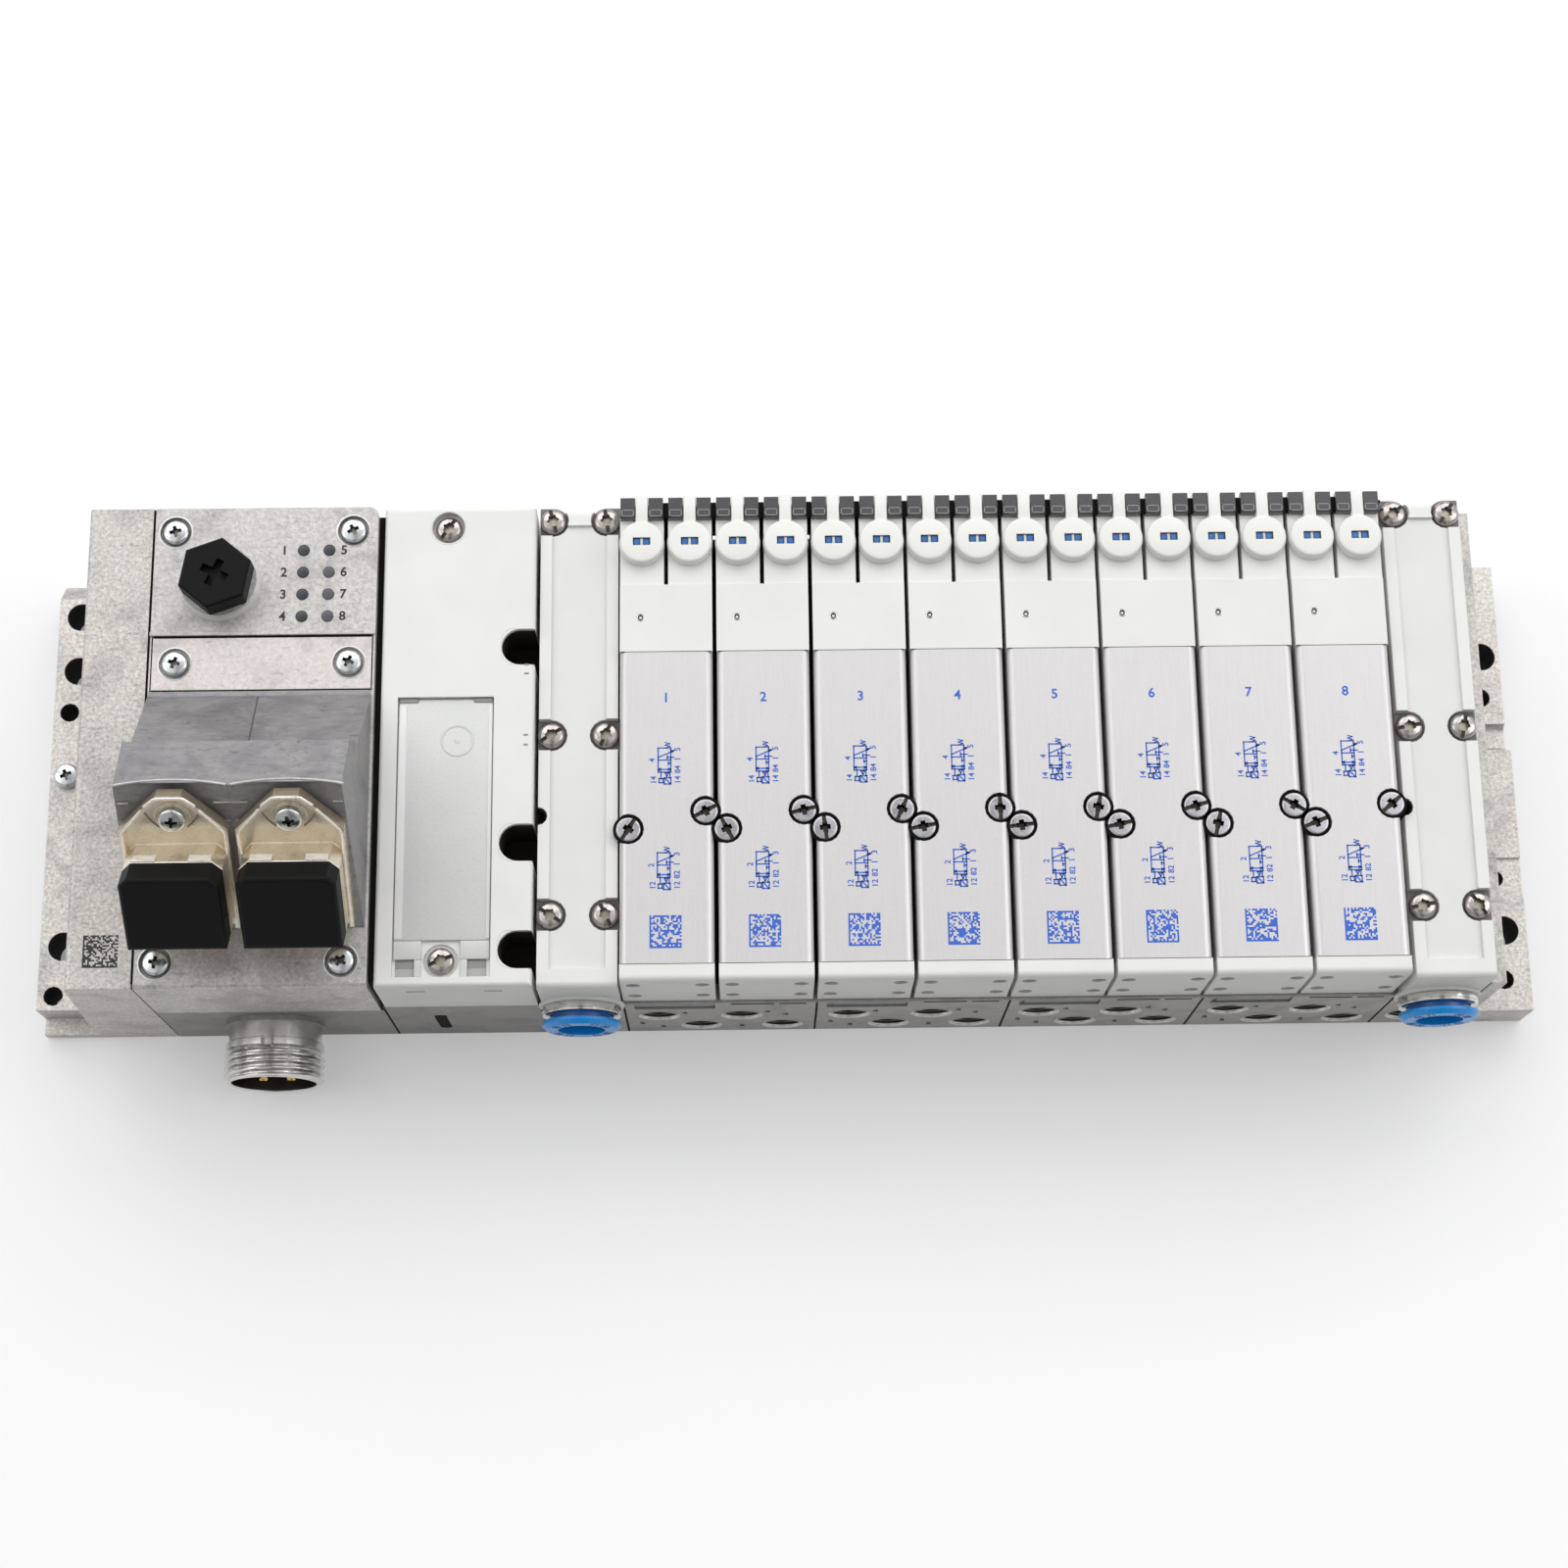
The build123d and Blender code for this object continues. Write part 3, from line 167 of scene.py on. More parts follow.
def cast_metal(name, colour, metallic, blot, contrast, streak=(1, 1, 1), specks=0.0):
    """Die-cast metal: fine flakes over broad cloudy stains, dark specks, and lighter edges, part wear and part
    painted highlight.
    """
    paint = Paint(name, colour, 0.5, metallic)
    flakes = paint.noise(blot, 5.0, 0.85, streak, 0.4)
    stains = paint.noise(11.0, 3.0, 0.55, warp=0.8)
    base = paint.ramp(flakes, (0.36, shade(colour, 1 - contrast)), (0.5, colour),
                      (0.64, shade(colour, 1 + contrast)))
    warm = paint.ramp(stains, (0.33, (0.74, 0.73, 0.745)), (0.52, (1.0, 0.99, 0.97)), (0.75, (1.0, 1.0, 1.0)))
    clouded = paint.mix(0.9, base, warm, "MULTIPLY")
    if specks:
        pits = paint.noise(1.0, stretch=(0.35, 1, 1), warp=0.6)
        clouded = paint.mix(paint.span(pits, 0.0, specks, 0.61, 0.69), clouded, shade(colour, 0.3))
    # Edges lighten, partly as wear and partly as a painted highlight
    wear_and_highlight = paint.span(paint.edge(0.45), 0.0, 0.55)
    return paint.finish(paint.noise(0.25), 0.02, 0.35, Roughness=paint.span(flakes, 0.38, 0.62, 0.3, 0.7),
                        Base_Color=paint.mix(wear_and_highlight, clouded, shade(colour, 1.45)))


def blasted_metal(name, colour):
    """Bead-blasted sheet: an even fine grain with a faint grain along the row's depth."""
    paint = Paint(name, colour, 0.42, 0.55)
    grain = paint.noise(0.22)
    brushed = paint.noise(0.6, 3.0, stretch=(1, 0.06, 1))
    veil = paint.ramp(brushed, (0.3, (0.95, 0.95, 0.96)), (0.7, (1.0, 1.0, 1.0)))
    return paint.finish(grain, 0.008, 0.15, Roughness=paint.span(grain, 0.34, 0.46, 0.3, 0.7),
                        Base_Color=paint.mix(0.8, paint.tones(grain, colour, 0.93, 1.05), veil, "MULTIPLY"))


def moulded(name, colour, roughness=0.45, grain=0.35, depth=0.006, rounding=0.25, coat=0.0, gloss=0.5):
    """Moulded plastic with a fine grain and slight clouds in its tone."""
    paint = Paint(name, colour, roughness, Coat_Weight=coat, Coat_Roughness=0.2, Specular_IOR_Level=gloss)
    fine = paint.noise(grain)
    return paint.finish(fine, depth, rounding, Base_Color=paint.tones(paint.noise(14.0), colour, 0.965, 1.015),
                        Roughness=paint.span(fine, roughness - 0.06, roughness + 0.06, 0.3, 0.7))


def plated(name, colour, roughness, smudge=0.1, rounding=0.12, depth=0.003, metallic=1.0):
    """Plated metal: smooth, with faint smudges in its gloss."""
    paint = Paint(name, colour, roughness, metallic)
    smudges = paint.noise(2.2, 3.0, warp=0.5)
    return paint.finish(paint.noise(0.3), depth, rounding, Base_Color=paint.tones(smudges, colour, 0.9, 1.05),
                        Roughness=paint.span(smudges, roughness - smudge / 2, roughness + smudge, 0.3, 0.7))


def edged(name, colour, edge_shade_colour, width):
    """Glossy plastic whose outer edges run into a darker tone, a painted shade."""
    paint = Paint(name, colour, 0.3, Coat_Weight=0.3, Coat_Roughness=0.2)
    clouds = paint.noise(0.9)
    tone = paint.tones(clouds, colour, 0.85, 1.2)
    return paint.finish(clouds, 0.01, 0.1, Base_Color=paint.mix(paint.edge(width), tone, edge_shade_colour))


def ink(name, colour):
    """Printed ink, thin and slightly uneven."""
    paint = Paint(name, colour, 0.55)
    paint.wear(Base_Color=paint.tones(paint.noise(0.25), colour, 0.85, 1.25))
    return paint.material


warm_casting = (0.50, 0.475, 0.455)
grey_casting = (0.44, 0.43, 0.42)
off_white = (0.80, 0.80, 0.765)

mat_end = cast_metal("end_casting", shade(warm_casting, 1.12), 0.55, 0.8, 0.38, specks=0.4)
# A lighter copy of the end casting for the flanges' upward faces, painted light
mat_flange_lit = cast_metal("flange_casting_painted_light", shade(warm_casting, 1.35), 0.55, 0.8, 0.38, specks=0.4)
mat_node = cast_metal("node_casting", (0.55, 0.53, 0.52), 0.6, 0.9, 0.28, specks=0.35)
mat_strip = cast_metal("strip_casting", (0.64, 0.60, 0.585), 0.6, 1.0, 0.16, specks=0.3)
# The block and base castings are the grey casting darkened, partly their own tone and partly painted shade of their
# fronts
mat_block = cast_metal("block_casting", shade(grey_casting, 0.62), 0.55, 1.2, 0.2, streak=(1, 1, 0.25))
mat_hood = cast_metal("hood_casting", (0.315, 0.31, 0.32), 0.6, 1.3, 0.17, streak=(0.3, 1, 1), specks=0.4)
mat_base = cast_metal("base_casting", shade(grey_casting, 0.86), 0.5, 0.9, 0.14, specks=0.3)
mat_valve = blasted_metal("valve_metal", (0.67, 0.655, 0.66))
mat_white = moulded("white_plastic", off_white)
mat_cap_white = moulded("cap_plastic", shade(off_white, 1.04), 0.35)
# A darker copy of the white plastic for the channel floors, painted shade
mat_channel_shade = moulded("channel_painted_shade", shade(off_white, 0.94))
mat_blue = moulded("blue_plastic", (0.002, 0.31, 0.84), 0.3, coat=0.1)
mat_blue_deep = moulded("blue_marks", (0.004, 0.06, 0.30), 0.3, coat=0.3)
# The plunger's edges darken to deep blue, painted shade of the cap's window round it
mat_plunger = edged("plunger_plastic", (0.012, 0.14, 0.44), (0.003, 0.02, 0.10), 0.8)
mat_black = moulded("black_plastic", (0.003, 0.003, 0.0035), 0.5, 0.5, rounding=0.4, gloss=0.15)
mat_rubber = moulded("gasket_rubber", (0.02, 0.02, 0.02), 0.7)
mat_lens = moulded("dark_lens", (0.06, 0.058, 0.064), 0.25, coat=0.3)
mat_lens_line = moulded("lens_line", (0.45, 0.45, 0.44), 0.3)
mat_light = moulded("status_window", (0.025, 0.028, 0.036), 0.3, coat=0.2)
mat_light_grey = moulded("status_window_grey", (0.075, 0.075, 0.09), 0.3, coat=0.2)
mat_frost = moulded("frosted_plastic", (0.66, 0.67, 0.655), 0.3, 0.6, 0.01)
mat_slate = moulded("slate_label", (0.045, 0.047, 0.065), 0.3, coat=0.3)
mat_slot_grey = moulded("slot_grey", (0.30, 0.30, 0.30), 0.5)
mat_slot_light = moulded("slot_light", (0.42, 0.42, 0.42), 0.4)
mat_pocket = moulded("pocket_shadow", (0.16, 0.15, 0.148), 0.5)
mat_shadow = moulded("joint_shadow", (0.03, 0.028, 0.026), 0.8)
mat_hood_dark = moulded("hood_shadow", (0.09, 0.09, 0.10), 0.6)
# Near black inside the notches, painted shade
mat_notch_shade = moulded("notch_painted_shade", (0.03, 0.024, 0.018), 0.8, gloss=0.1)
# Near black for dark joints and for painted shade in gaps, slots, pockets and grooves
mat_joint_shade = moulded("joints_and_painted_shade", (0.008, 0.007, 0.006), 0.8, gloss=0.1)
mat_nickel = plated("nickel", (0.70, 0.68, 0.65), 0.12, 0.03, depth=0.0008)
mat_shell = plated("shell_metal", (0.64, 0.625, 0.61), 0.2, 0.05, 0.04, 0.001)
mat_frame = plated("frame_metal", (0.84, 0.755, 0.61), 0.28, 0.06, 0.2, 0.001, 0.9)
# A brighter copy of the frame metal for the rim beads, painted highlight
mat_bright_frame = plated("frame_painted_highlight", (0.93, 0.90, 0.84), 0.2, 0.04, metallic=0.5)
# A dark bronze copy of the frame metal, painted shade on the frames' upward outer walls and creases
mat_frame_shade = plated("frame_painted_shade", (0.30, 0.25, 0.18), 0.4, 0.05, metallic=0.6)
# A bright metal for thin rims, marks and chamfers, painted highlight
mat_edge_highlight = plated("edge_painted_highlight", (0.62, 0.61, 0.60), 0.3)
# A pale metal ring on the plug's boss, painted highlight
mat_boss_highlight = plated("boss_painted_highlight", (0.86, 0.85, 0.85), 0.3, metallic=0.4)
mat_stainless = plated("stainless_screw", (0.44, 0.40, 0.385), 0.17)
mat_zinc = plated("zinc_screw", (0.60, 0.63, 0.64), 0.2)
mat_captive = plated("captive_screw", (0.54, 0.53, 0.56), 0.24)
# Dark tones for the walls of recesses, painted shade; the floor of the lobed recess keeps a lighter metal tone
mat_recess = plated("screw_recess_painted_shade", (0.06, 0.055, 0.05), 0.4)
mat_recess_zinc = plated("zinc_recess_painted_shade", (0.22, 0.225, 0.21), 0.3)
mat_recess_floor = plated("recess_floor", (0.40, 0.37, 0.30), 0.3)
mat_gold = plated("gold_contact", (0.80, 0.55, 0.20), 0.2)
# A dark metal for the port threads, partly their own metal and partly painted shade of the ports' depth
mat_port_shade = plated("port_metal_and_painted_shade", (0.11, 0.105, 0.09), 0.35)
mat_blue_ink = ink("blue_ink", (0.03, 0.12, 0.55))
mat_black_ink = ink("black_ink", (0.02, 0.02, 0.022))

# Every CAD node whose name begins with one of these words gets the material before them
coats = (
    (mat_end, "left_end", "right_end"), (mat_node, "bus_node"), (mat_strip, "cover_strip"),
    (mat_block, "interlinking", "interface_base"), (mat_hood, "connector_hood"), (mat_valve, "valve_body"),
    (mat_base, "sub_base", "supply_left_base", "supply_right_base"), (mat_cap_white, "override_caps"),
    (mat_white, "valve_end", "pilot_heads", "supply_left_cover", "supply_right_cover", "interface_cover"),
    (mat_blue, "release_ring"), (mat_plunger, "override_plunger"), (mat_rubber, "valve_gaskets"),
    (mat_black, "dust_cap", "hex_plug", "power_connector_insert"), (mat_lens, "lens_blocks"),
    (mat_light, "status_lenses"), (mat_nickel, "fitting_sleeves", "power_connector_shell"),
    (mat_frame, "plug_frame"), (mat_stainless, "housing_screws"), (mat_zinc, "valve_screws"),
    (mat_gold, "power_pins"), (mat_frost, "label_window"),
)
for material, *starts in coats:
    for name in nodes:
        if name.startswith(tuple(starts)):
            coated = nodes[name].data.materials
            coated.clear()
            coated.append(material)


# Mesh tools, all in millimetres

def blanks(count):
    return [bmesh.new() for number in range(count)]


def polar(radius, turn):
    return radius * math.cos(turn), radius * math.sin(turn)


def island_boxes(node):
    """Low corner, high corner and centre of each separate solid of a CAD node, from left to right."""
    bm = bmesh.new()
    bm.from_mesh(nodes[node].data)
    bmesh.ops.remove_doubles(bm, verts=bm.verts, dist=1e-6)
    unseen = set(bm.verts)
    boxes = []
    while unseen:
        reached = [unseen.pop()]
        low = reached[0].co.copy()
        high = low.copy()
        while reached:
            vert = reached.pop()
            low = Vector(map(min, low, vert.co))
            high = Vector(map(max, high, vert.co))
            for edge in vert.link_edges:
                other = edge.other_vert(vert)
                if other in unseen:
                    unseen.remove(other)
                    reached.append(other)
        low, high = low / mm, high / mm
        boxes.append((low, high, (low + high) / 2))
    bm.free()
    return sorted(boxes, key=lambda box: tuple(box[0]))


def lathe(bm, profile, place=Matrix(), steps=48, closed=False):
    """Turn a profile of (radius, height) points round the local Z axis."""
    rings = []
    for radius, height in profile:
        turns = [2 * math.pi / steps * step for step in range(steps if radius else 1)]
        rings.append([bm.verts.new(place @ Vector((*polar(radius, turn), height))) for turn in turns])
    if closed:
        rings.append(rings[0])
    for first, second in zip(rings, rings[1:]):
        for step in range(steps):
            after = step + 1
            corners = [first[step % len(first)], first[after % len(first)],
                       second[after % len(second)], second[step % len(second)]]
            bm.faces.new(dict.fromkeys(corners))


def turned(profile, steps=48, closed=True):
    """A turned part as a template for stamp."""
    bm = bmesh.new()
    lathe(bm, profile, steps=steps, closed=closed)
    return to_template(bm)


def turned_tube(bm, rows, place, steps=96):
    """A closed tube round local Z; each row is a radius by angle and height, and a height."""
    rings = []
    for radius_at, height in rows:
        turns = [2 * math.pi * step / steps for step in range(steps)]
        rings.append([bm.verts.new(place @ Vector((*polar(radius_at(turn, height), turn), height)))
                      for turn in turns])
    for first, second in zip(rings, rings[1:] + rings[:1]):
        for step in range(steps):
            after = (step + 1) % steps
            bm.faces.new((first[step], first[after], second[after], second[step]))


def prism(bm, outline, low, high, place=Matrix()):
    """Pull a flat outline up from one height to another."""
    bottom, top = ([bm.verts.new(place @ Vector((x, y, height))) for x, y in outline] for height in (low, high))
    bm.faces.new(bottom[::-1])
    bm.faces.new(top)
    for index in range(len(outline)):
        after = (index + 1) % len(outline)
        bm.faces.new((bottom[index], bottom[after], top[after], top[index]))


def block(bm, low, high, place=Matrix(), rounding=0.0, material=0):
    """A box between two corners, with rounded edges if asked."""
    part = bmesh.new()
    outline = ((low[0], low[1]), (high[0], low[1]), (high[0], high[1]), (low[0], high[1]))
    prism(part, outline, low[2], high[2])
    if rounding:
        bmesh.ops.bevel(part, geom=part.edges, offset=rounding, segments=2,
                        affect="EDGES", profile=0.5, clamp_overlap=True)
    stamp(bm, to_template(part), place, material)


def to_template(bm):
    """Close a mesh in the making and keep it as a template for stamp."""
    bmesh.ops.recalc_face_normals(bm, faces=bm.faces)
    mesh = bpy.data.meshes.new("template")
    bm.to_mesh(mesh)
    bm.free()
    return mesh


def stamp(bm, template, place=Matrix(), material=0):
    """Add a copy of a template at a place; its materials start at the given slot."""
    first_vert, first_face = len(bm.verts), len(bm.faces)
    bm.from_mesh(template)
    bm.verts.ensure_lookup_table()
    bm.faces.ensure_lookup_table()
    bmesh.ops.transform(bm, matrix=place, verts=bm.verts[first_vert:])
    for face in bm.faces[first_face:]:
        face.material_index += material


def carve(target, cutter):
    """Cut one closed mesh out of another; the faces of the cut get the second material."""
    tools = []
    for index, bm in enumerate((target, cutter)):
        for face in bm.faces:
            face.material_index = index
        tool = bpy.data.objects.new("tool", to_template(bm))
        for material in (mat_white, mat_recess):
            tool.data.materials.append(material)
        bpy.context.scene.collection.objects.link(tool)
        tools.append(tool)
    cut = tools[0].modifiers.new("cut", "BOOLEAN")
    cut.solver = "EXACT"
    cut.use_self = True
    cut.object = tools[1]
    bpy.context.view_layer.update()
    seen = tools[0].evaluated_get(bpy.context.evaluated_depsgraph_get())
    result = bpy.data.meshes.new_from_object(seen)
    for tool in tools:
        bpy.data.objects.remove(tool)
    return result


def stroke(bm, points, width, place):
    """A thin flat line through points, a little proud of its surface."""
    for start, end in zip(points, points[1:]):
        along = (Vector(end) - Vector(start)).normalized() * width / 2
        across = Vector((-along.y, along.x))
        start, end = Vector(start) - along, Vector(end) + along
        prism(bm, [start - across, end - across, end + across, start + across], -0.03, 0.03, place)


def bead(bm, points, radius, place=Matrix(), material=0):
    """A round bead along a chain of points."""
    corners = 8
    points = [Vector(point) for point in points]
    rings = []
    for index, point in enumerate(points):
        along = (points[min(index + 1, len(points) - 1)] - points[max(index - 1, 0)]).normalized()
        across = along.cross(Vector((0, 0, 1))).normalized()
        upward = across.cross(along)
        turns = [2 * math.pi * corner / corners for corner in range(corners)]
        rings.append([bm.verts.new(place @ (point + radius * (across * math.cos(turn) + upward * math.sin(turn))))
                      for turn in turns])
    faces = [bm.faces.new(rings[0]), bm.faces.new(rings[-1][::-1])]
    for first, second in zip(rings, rings[1:]):
        for corner in range(corners):
            after = (corner + 1) % corners
            faces.append(bm.faces.new((first[corner], second[corner], second[after], first[after])))
    for face in faces:
        face.material_index = material


def lettering(bm, text, size, place, depth=0.03, bold=0.0):
    """Plain numerals, set flat and a little proud of their surface."""
    curve = bpy.data.curves.new("lettering", "FONT")
    curve.body = text
    curve.size = size
    curve.align_x = curve.align_y = "CENTER"
    curve.extrude = depth
    curve.offset = bold
    curve.resolution_u = 3
    holder = bpy.data.objects.new("lettering", curve)
    mesh = bpy.data.meshes.new_from_object(holder)
    bpy.data.objects.remove(holder)
    stamp(bm, mesh, place)


def code_patch(bm, low, high, cells, seed):
    """A square of random cells with a closed corner, in place of a printed code."""
    draw = random.Random(seed)
    depth = 0.03
    step_x, step_y = (high[0] - low[0]) / cells, (high[1] - low[1]) / cells
    for row in range(cells):
        filled = [column == 0 or row == 0 or (column == cells - 1 and row % 2 == 0)
                  or (row == cells - 1 and column % 2 == 0) or draw.random() < 0.5
                  for column in range(cells)]
        column = 0
        while column < cells:
            end = column
            while end < cells and filled[end]:
                end += 1
            if end > column:
                corner = (low[0] + column * step_x, low[1] + row * step_y, low[2] - depth)
                block(bm, corner, (low[0] + end * step_x, corner[1] + step_y, low[2] + depth))
            column = end + 1


def piece(name, bm, *materials, slot, body="island"):
    """Finish a mesh as a piece of the scene that rides on a body."""
    smooth = math.radians(35)
    bmesh.ops.scale(bm, vec=(mm, mm, mm), verts=bm.verts)
    bmesh.ops.recalc_face_normals(bm, faces=bm.faces)
    for face in bm.faces:
        face.smooth = True
    for edge in bm.edges:
        edge.smooth = len(edge.link_faces) == 2 and edge.calc_face_angle() < smooth
    mesh = bpy.data.meshes.new(name)
    bm.to_mesh(mesh)
    bm.free()
    for material in materials:
        mesh.materials.append(material)
    made = bpy.data.objects.new(name, mesh)
    bpy.context.scene.collection.objects.link(made)
    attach(made, body)
    return made


def at(x, y, z, turn=0.0):
    return Matrix.Translation((x, y, z)) @ Matrix.Rotation(turn, 4, "Z")


def facing(normal, up, origin):
    """A place whose local Z is the normal and whose local Y leans towards up."""
    z_axis = Vector(normal).normalized()
    x_axis = Vector(up).cross(z_axis).normalized()
    y_axis = z_axis.cross(x_axis)
    return Matrix.Translation(origin) @ Matrix((x_axis, y_axis, z_axis)).transposed().to_4x4()


def front_place(x, y, z):
    """A place on a front face: local X to the right, local Y up, local Z to the front."""
    return facing((0, -1, 0), (0, 0, 1), (x, y, z))


# Places read from the frame
valve_starts = [box_mm(f"valve_body_{number}")[0].x for number in range(1, 9)]
base_starts = [box_mm(f"sub_base_{number}")[0].x for number in range(1, 5)]
base_low, base_high = box_mm("sub_base_1")
valve_low, valve_high = box_mm("valve_body_1")
valve_top = valve_high.z
valve_width = valve_high.x - valve_low.x
head_top = island_boxes("override_caps")[0][0].z
face_tilt = math.radians(40)
face_normal = Vector((0, -math.cos(face_tilt), math.sin(face_tilt)))
face_up = Vector((0, math.sin(face_tilt), math.cos(face_tilt)))
hood_edge = Vector((0, -17.55, 80.0))
frame_centres = [centre_mm(f"plug_frame_{side}").x for side in sides]
node_top = 52.0


def face_place(x, drop, proud=0.0):
    """A place on the hood's sloping face, measured down from its top edge."""
    return facing(face_normal, face_up, hood_edge + Vector((x, 0, 0)) - face_up * drop + face_normal * proud)


# Faces of CAD nodes in a second material: painted shade on the channel floors, painted light on the flanges, painted
# shade in the flange holes and on the frames' outer walls

def repaint(node, material, chosen):
    mesh = nodes[node].data
    mesh.materials.append(material)
    for face in mesh.polygons:
        if chosen(face.center / mm, face.normal):
            face.material_index = len(mesh.materials) - 1


flange_top, channel_depth, outer_drop = 30.0, 0.8, 11.0
big_hole, small_hole = 3.4, 2.4
flange_holes = [(-162.1, 42.8, big_hole)]
flange_holes += [(x, y, big_hole) for x in (-162.1, 162.1) for y in (29.7, -35.3)]
flange_holes += [(x, y, small_hole) for x in (-163.6, 161.2) for y in (19.7, -23.1, -46.6)]
for side in sides:
    channel_floor = box_mm(f"supply_{side}_cover")[1].z - channel_depth
    # The channel floor takes the darker plastic, painted shade
    repaint(f"supply_{side}_cover", mat_channel_shade, lambda centre, normal: abs(centre.z - channel_floor) < 0.05)
    # Upward flange faces take the lighter casting, painted light
    repaint(f"{side}_end_plate", mat_flange_lit, lambda centre, normal: normal.z > 0.9 and centre.z < flange_top)
    # Walls of the flange holes take the dark shadow tone, painted shade
    repaint(f"{side}_end_plate", mat_shadow, lambda centre, normal: abs(normal.z) < 0.2 and any(
        math.hypot(centre.x - x, centre.y - y) < reach for x, y, reach in flange_holes))
    # Upward outer walls near the frames' top take the dark bronze, painted shade
    repaint(f"plug_frame_{side}", mat_frame_shade, lambda centre, normal: normal.dot(face_up) > 0.5 and (
        hood_edge - centre).dot(face_up) < outer_drop)


def round_slot(half_length, radius, steps=8):
    """The outline of a slot with round ends, its length along local Y."""
    ends = []
    for start, middle in ((0.0, half_length - radius), (math.pi, radius - half_length)):
        for step in range(steps + 1):
            turn = start + math.pi * step / steps
            x, y = polar(radius, turn)
            ends.append((x, middle + y))
    return ends


# Screws

def cross_cutter(bm, reach, width, depth, top, turn=0.0):
    """Two crossed wedges that narrow downwards."""
    for quarter in (0, 1):
        place = Matrix.Rotation(turn + quarter * math.pi / 2, 4, "Z")
        part = bmesh.new()
        block(part, (-reach, -width / 2, top - depth), (reach, width / 2, top + 1))
        for vert in part.verts:
            if vert.co.z < top:
                vert.co.x *= 0.45
                vert.co.y *= 0.8
        stamp(bm, to_template(part), place)


def screw(head_profile, shank, cutter):
    """A screw from its head's profile, with a recess, on a plain shank."""
    radius, length = shank
    head = bmesh.new()
    lathe(head, [*head_profile, (radius, 0), (radius, -length), (0, -length)], steps=40)
    return carve(head, cutter)


def dome_profile(radius, height, edge, crown):
    """A pan head: rounded edge and a slightly domed top."""
    points = [(0, height)]
    for step in range(1, 5):
        across = (radius - edge) * step / 4
        points.append((across, height - crown * (step / 4) ** 2))
    shoulder = height - crown
    for step in range(1, 7):
        turn = math.pi / 2 * step / 6
        points.append((radius - edge + edge * math.sin(turn), shoulder - edge + edge * math.cos(turn)))
    return [*points, (radius, 0)]


def make_screws():
    """Replace the plain CAD screws by screws with recesses, each turned its own way; faces cut for the recesses take
    dark tones, a painted shade.
    """
    pan_radius, pan_height, pan_shank = 2.9, 2.2, (1.5, 6.0)
    cutter = bmesh.new()
    cross_cutter(cutter, 1.75, 0.85, 1.5, pan_height)
    cross_cutter(cutter, 1.15, 0.3, 0.5, pan_height, math.pi / 4)
    zinc_screw = screw(dome_profile(pan_radius, pan_height, 0.9, 0.25), pan_shank, cutter)

    cutter = bmesh.new()
    lobes = [polar(1.42 if step % 2 else 1.02, math.pi / 6 * step) for step in range(12)]
    prism(cutter, lobes, pan_height - 1.5, pan_height + 1)
    block(cutter, (-4, -0.42, pan_height - 0.85), (4, 0.42, pan_height + 1))
    steel_screw = screw(dome_profile(pan_radius, pan_height, 1.15, 0.3), pan_shank, cutter)
    for face in steel_screw.polygons:
        if face.material_index == 1 and face.center.z < pan_height - 1.4:
            face.material_index = 2

    valve_radius, valve_height, valve_shank = 2.65, 2.6, (1.25, 12.0)
    cutter = bmesh.new()
    cross_cutter(cutter, 1.5, 1.2, 1.5, valve_height)
    block(cutter, (-4, -0.43, valve_height - 0.6), (4, 0.43, valve_height + 1))
    valve_screw = screw(dome_profile(valve_radius, valve_height, 0.35, 0.02), valve_shank, cutter)

    draw = random.Random(7)
    captive = bmesh.new()
    for low, high, middle in island_boxes("valve_screws"):
        stamp(captive, valve_screw, at(middle.x, middle.y, high.z - valve_height, draw.uniform(0, math.pi)))
    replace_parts(piece("captive_screws", captive, mat_captive, mat_recess, slot="screw_steel"), "valve_screws")

    zinc_right_end = box_mm("interface_cover")[0].x
    frame_screw_drop, flange_thickness = 7.0, 1.3
    fixing = bmesh.new()
    for low, high, middle in island_boxes("housing_screws"):
        turn = draw.uniform(0, math.pi)
        if high.z > node_top + 5:
            seat = face_place(middle.x, frame_screw_drop, flange_thickness)
            stamp(fixing, zinc_screw, seat @ Matrix.Rotation(turn, 4, "Z"))
        elif middle.x < zinc_right_end:
            stamp(fixing, zinc_screw, at(middle.x, middle.y, high.z - pan_height, turn))
        else:
            stamp(fixing, steel_screw, at(middle.x, middle.y, high.z - pan_height, turn), 2)
    screw_looks = (mat_zinc, mat_recess_zinc, mat_stainless, mat_recess, mat_recess_floor)
    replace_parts(piece("fixing_screws", fixing, *screw_looks, slot="screw_steel"), "housing_screws")

    # A dark ring in each valve screw's pocket, painted shade round the head
    well = turned([(2.7, -0.9), (2.7, -0.6), (3.3, -0.6), (3.3, -0.9)], 32)
    wells = bmesh.new()
    for low, high, middle in island_boxes("valve_screws"):
        stamp(wells, well, at(middle.x, middle.y, high.z))
    piece("screw_well_shade", wells, mat_joint_shade, slot="gasket_rubber")

    # Dark plates on the floors of the supply covers' screw pockets, painted shade
    floors = bmesh.new()
    pocket_radius, side_reach, cover_half = 3.45, 2.9, 12
    pocket_floor = box_mm("supply_left_cover")[1].z - 1.9
    for side in sides:
        cover_middle = centre_mm(f"supply_{side}_cover").x
        for low, high, middle in island_boxes("housing_screws"):
            if abs(middle.x - cover_middle) > cover_half:
                continue
            outward = math.copysign(1, middle.x - cover_middle)
            outline = [(outward * side_reach, pocket_radius), (outward * side_reach, -pocket_radius)]
            outline += [(-outward * pocket_radius * math.sin(turn), -pocket_radius * math.cos(turn))
                        for turn in (math.pi * step / 20 for step in range(21))]
            prism(floors, outline, pocket_floor - 0.02, pocket_floor + 0.04, at(middle.x, middle.y, 0))
    piece("pocket_floors", floors, mat_pocket, slot="white_plastic")


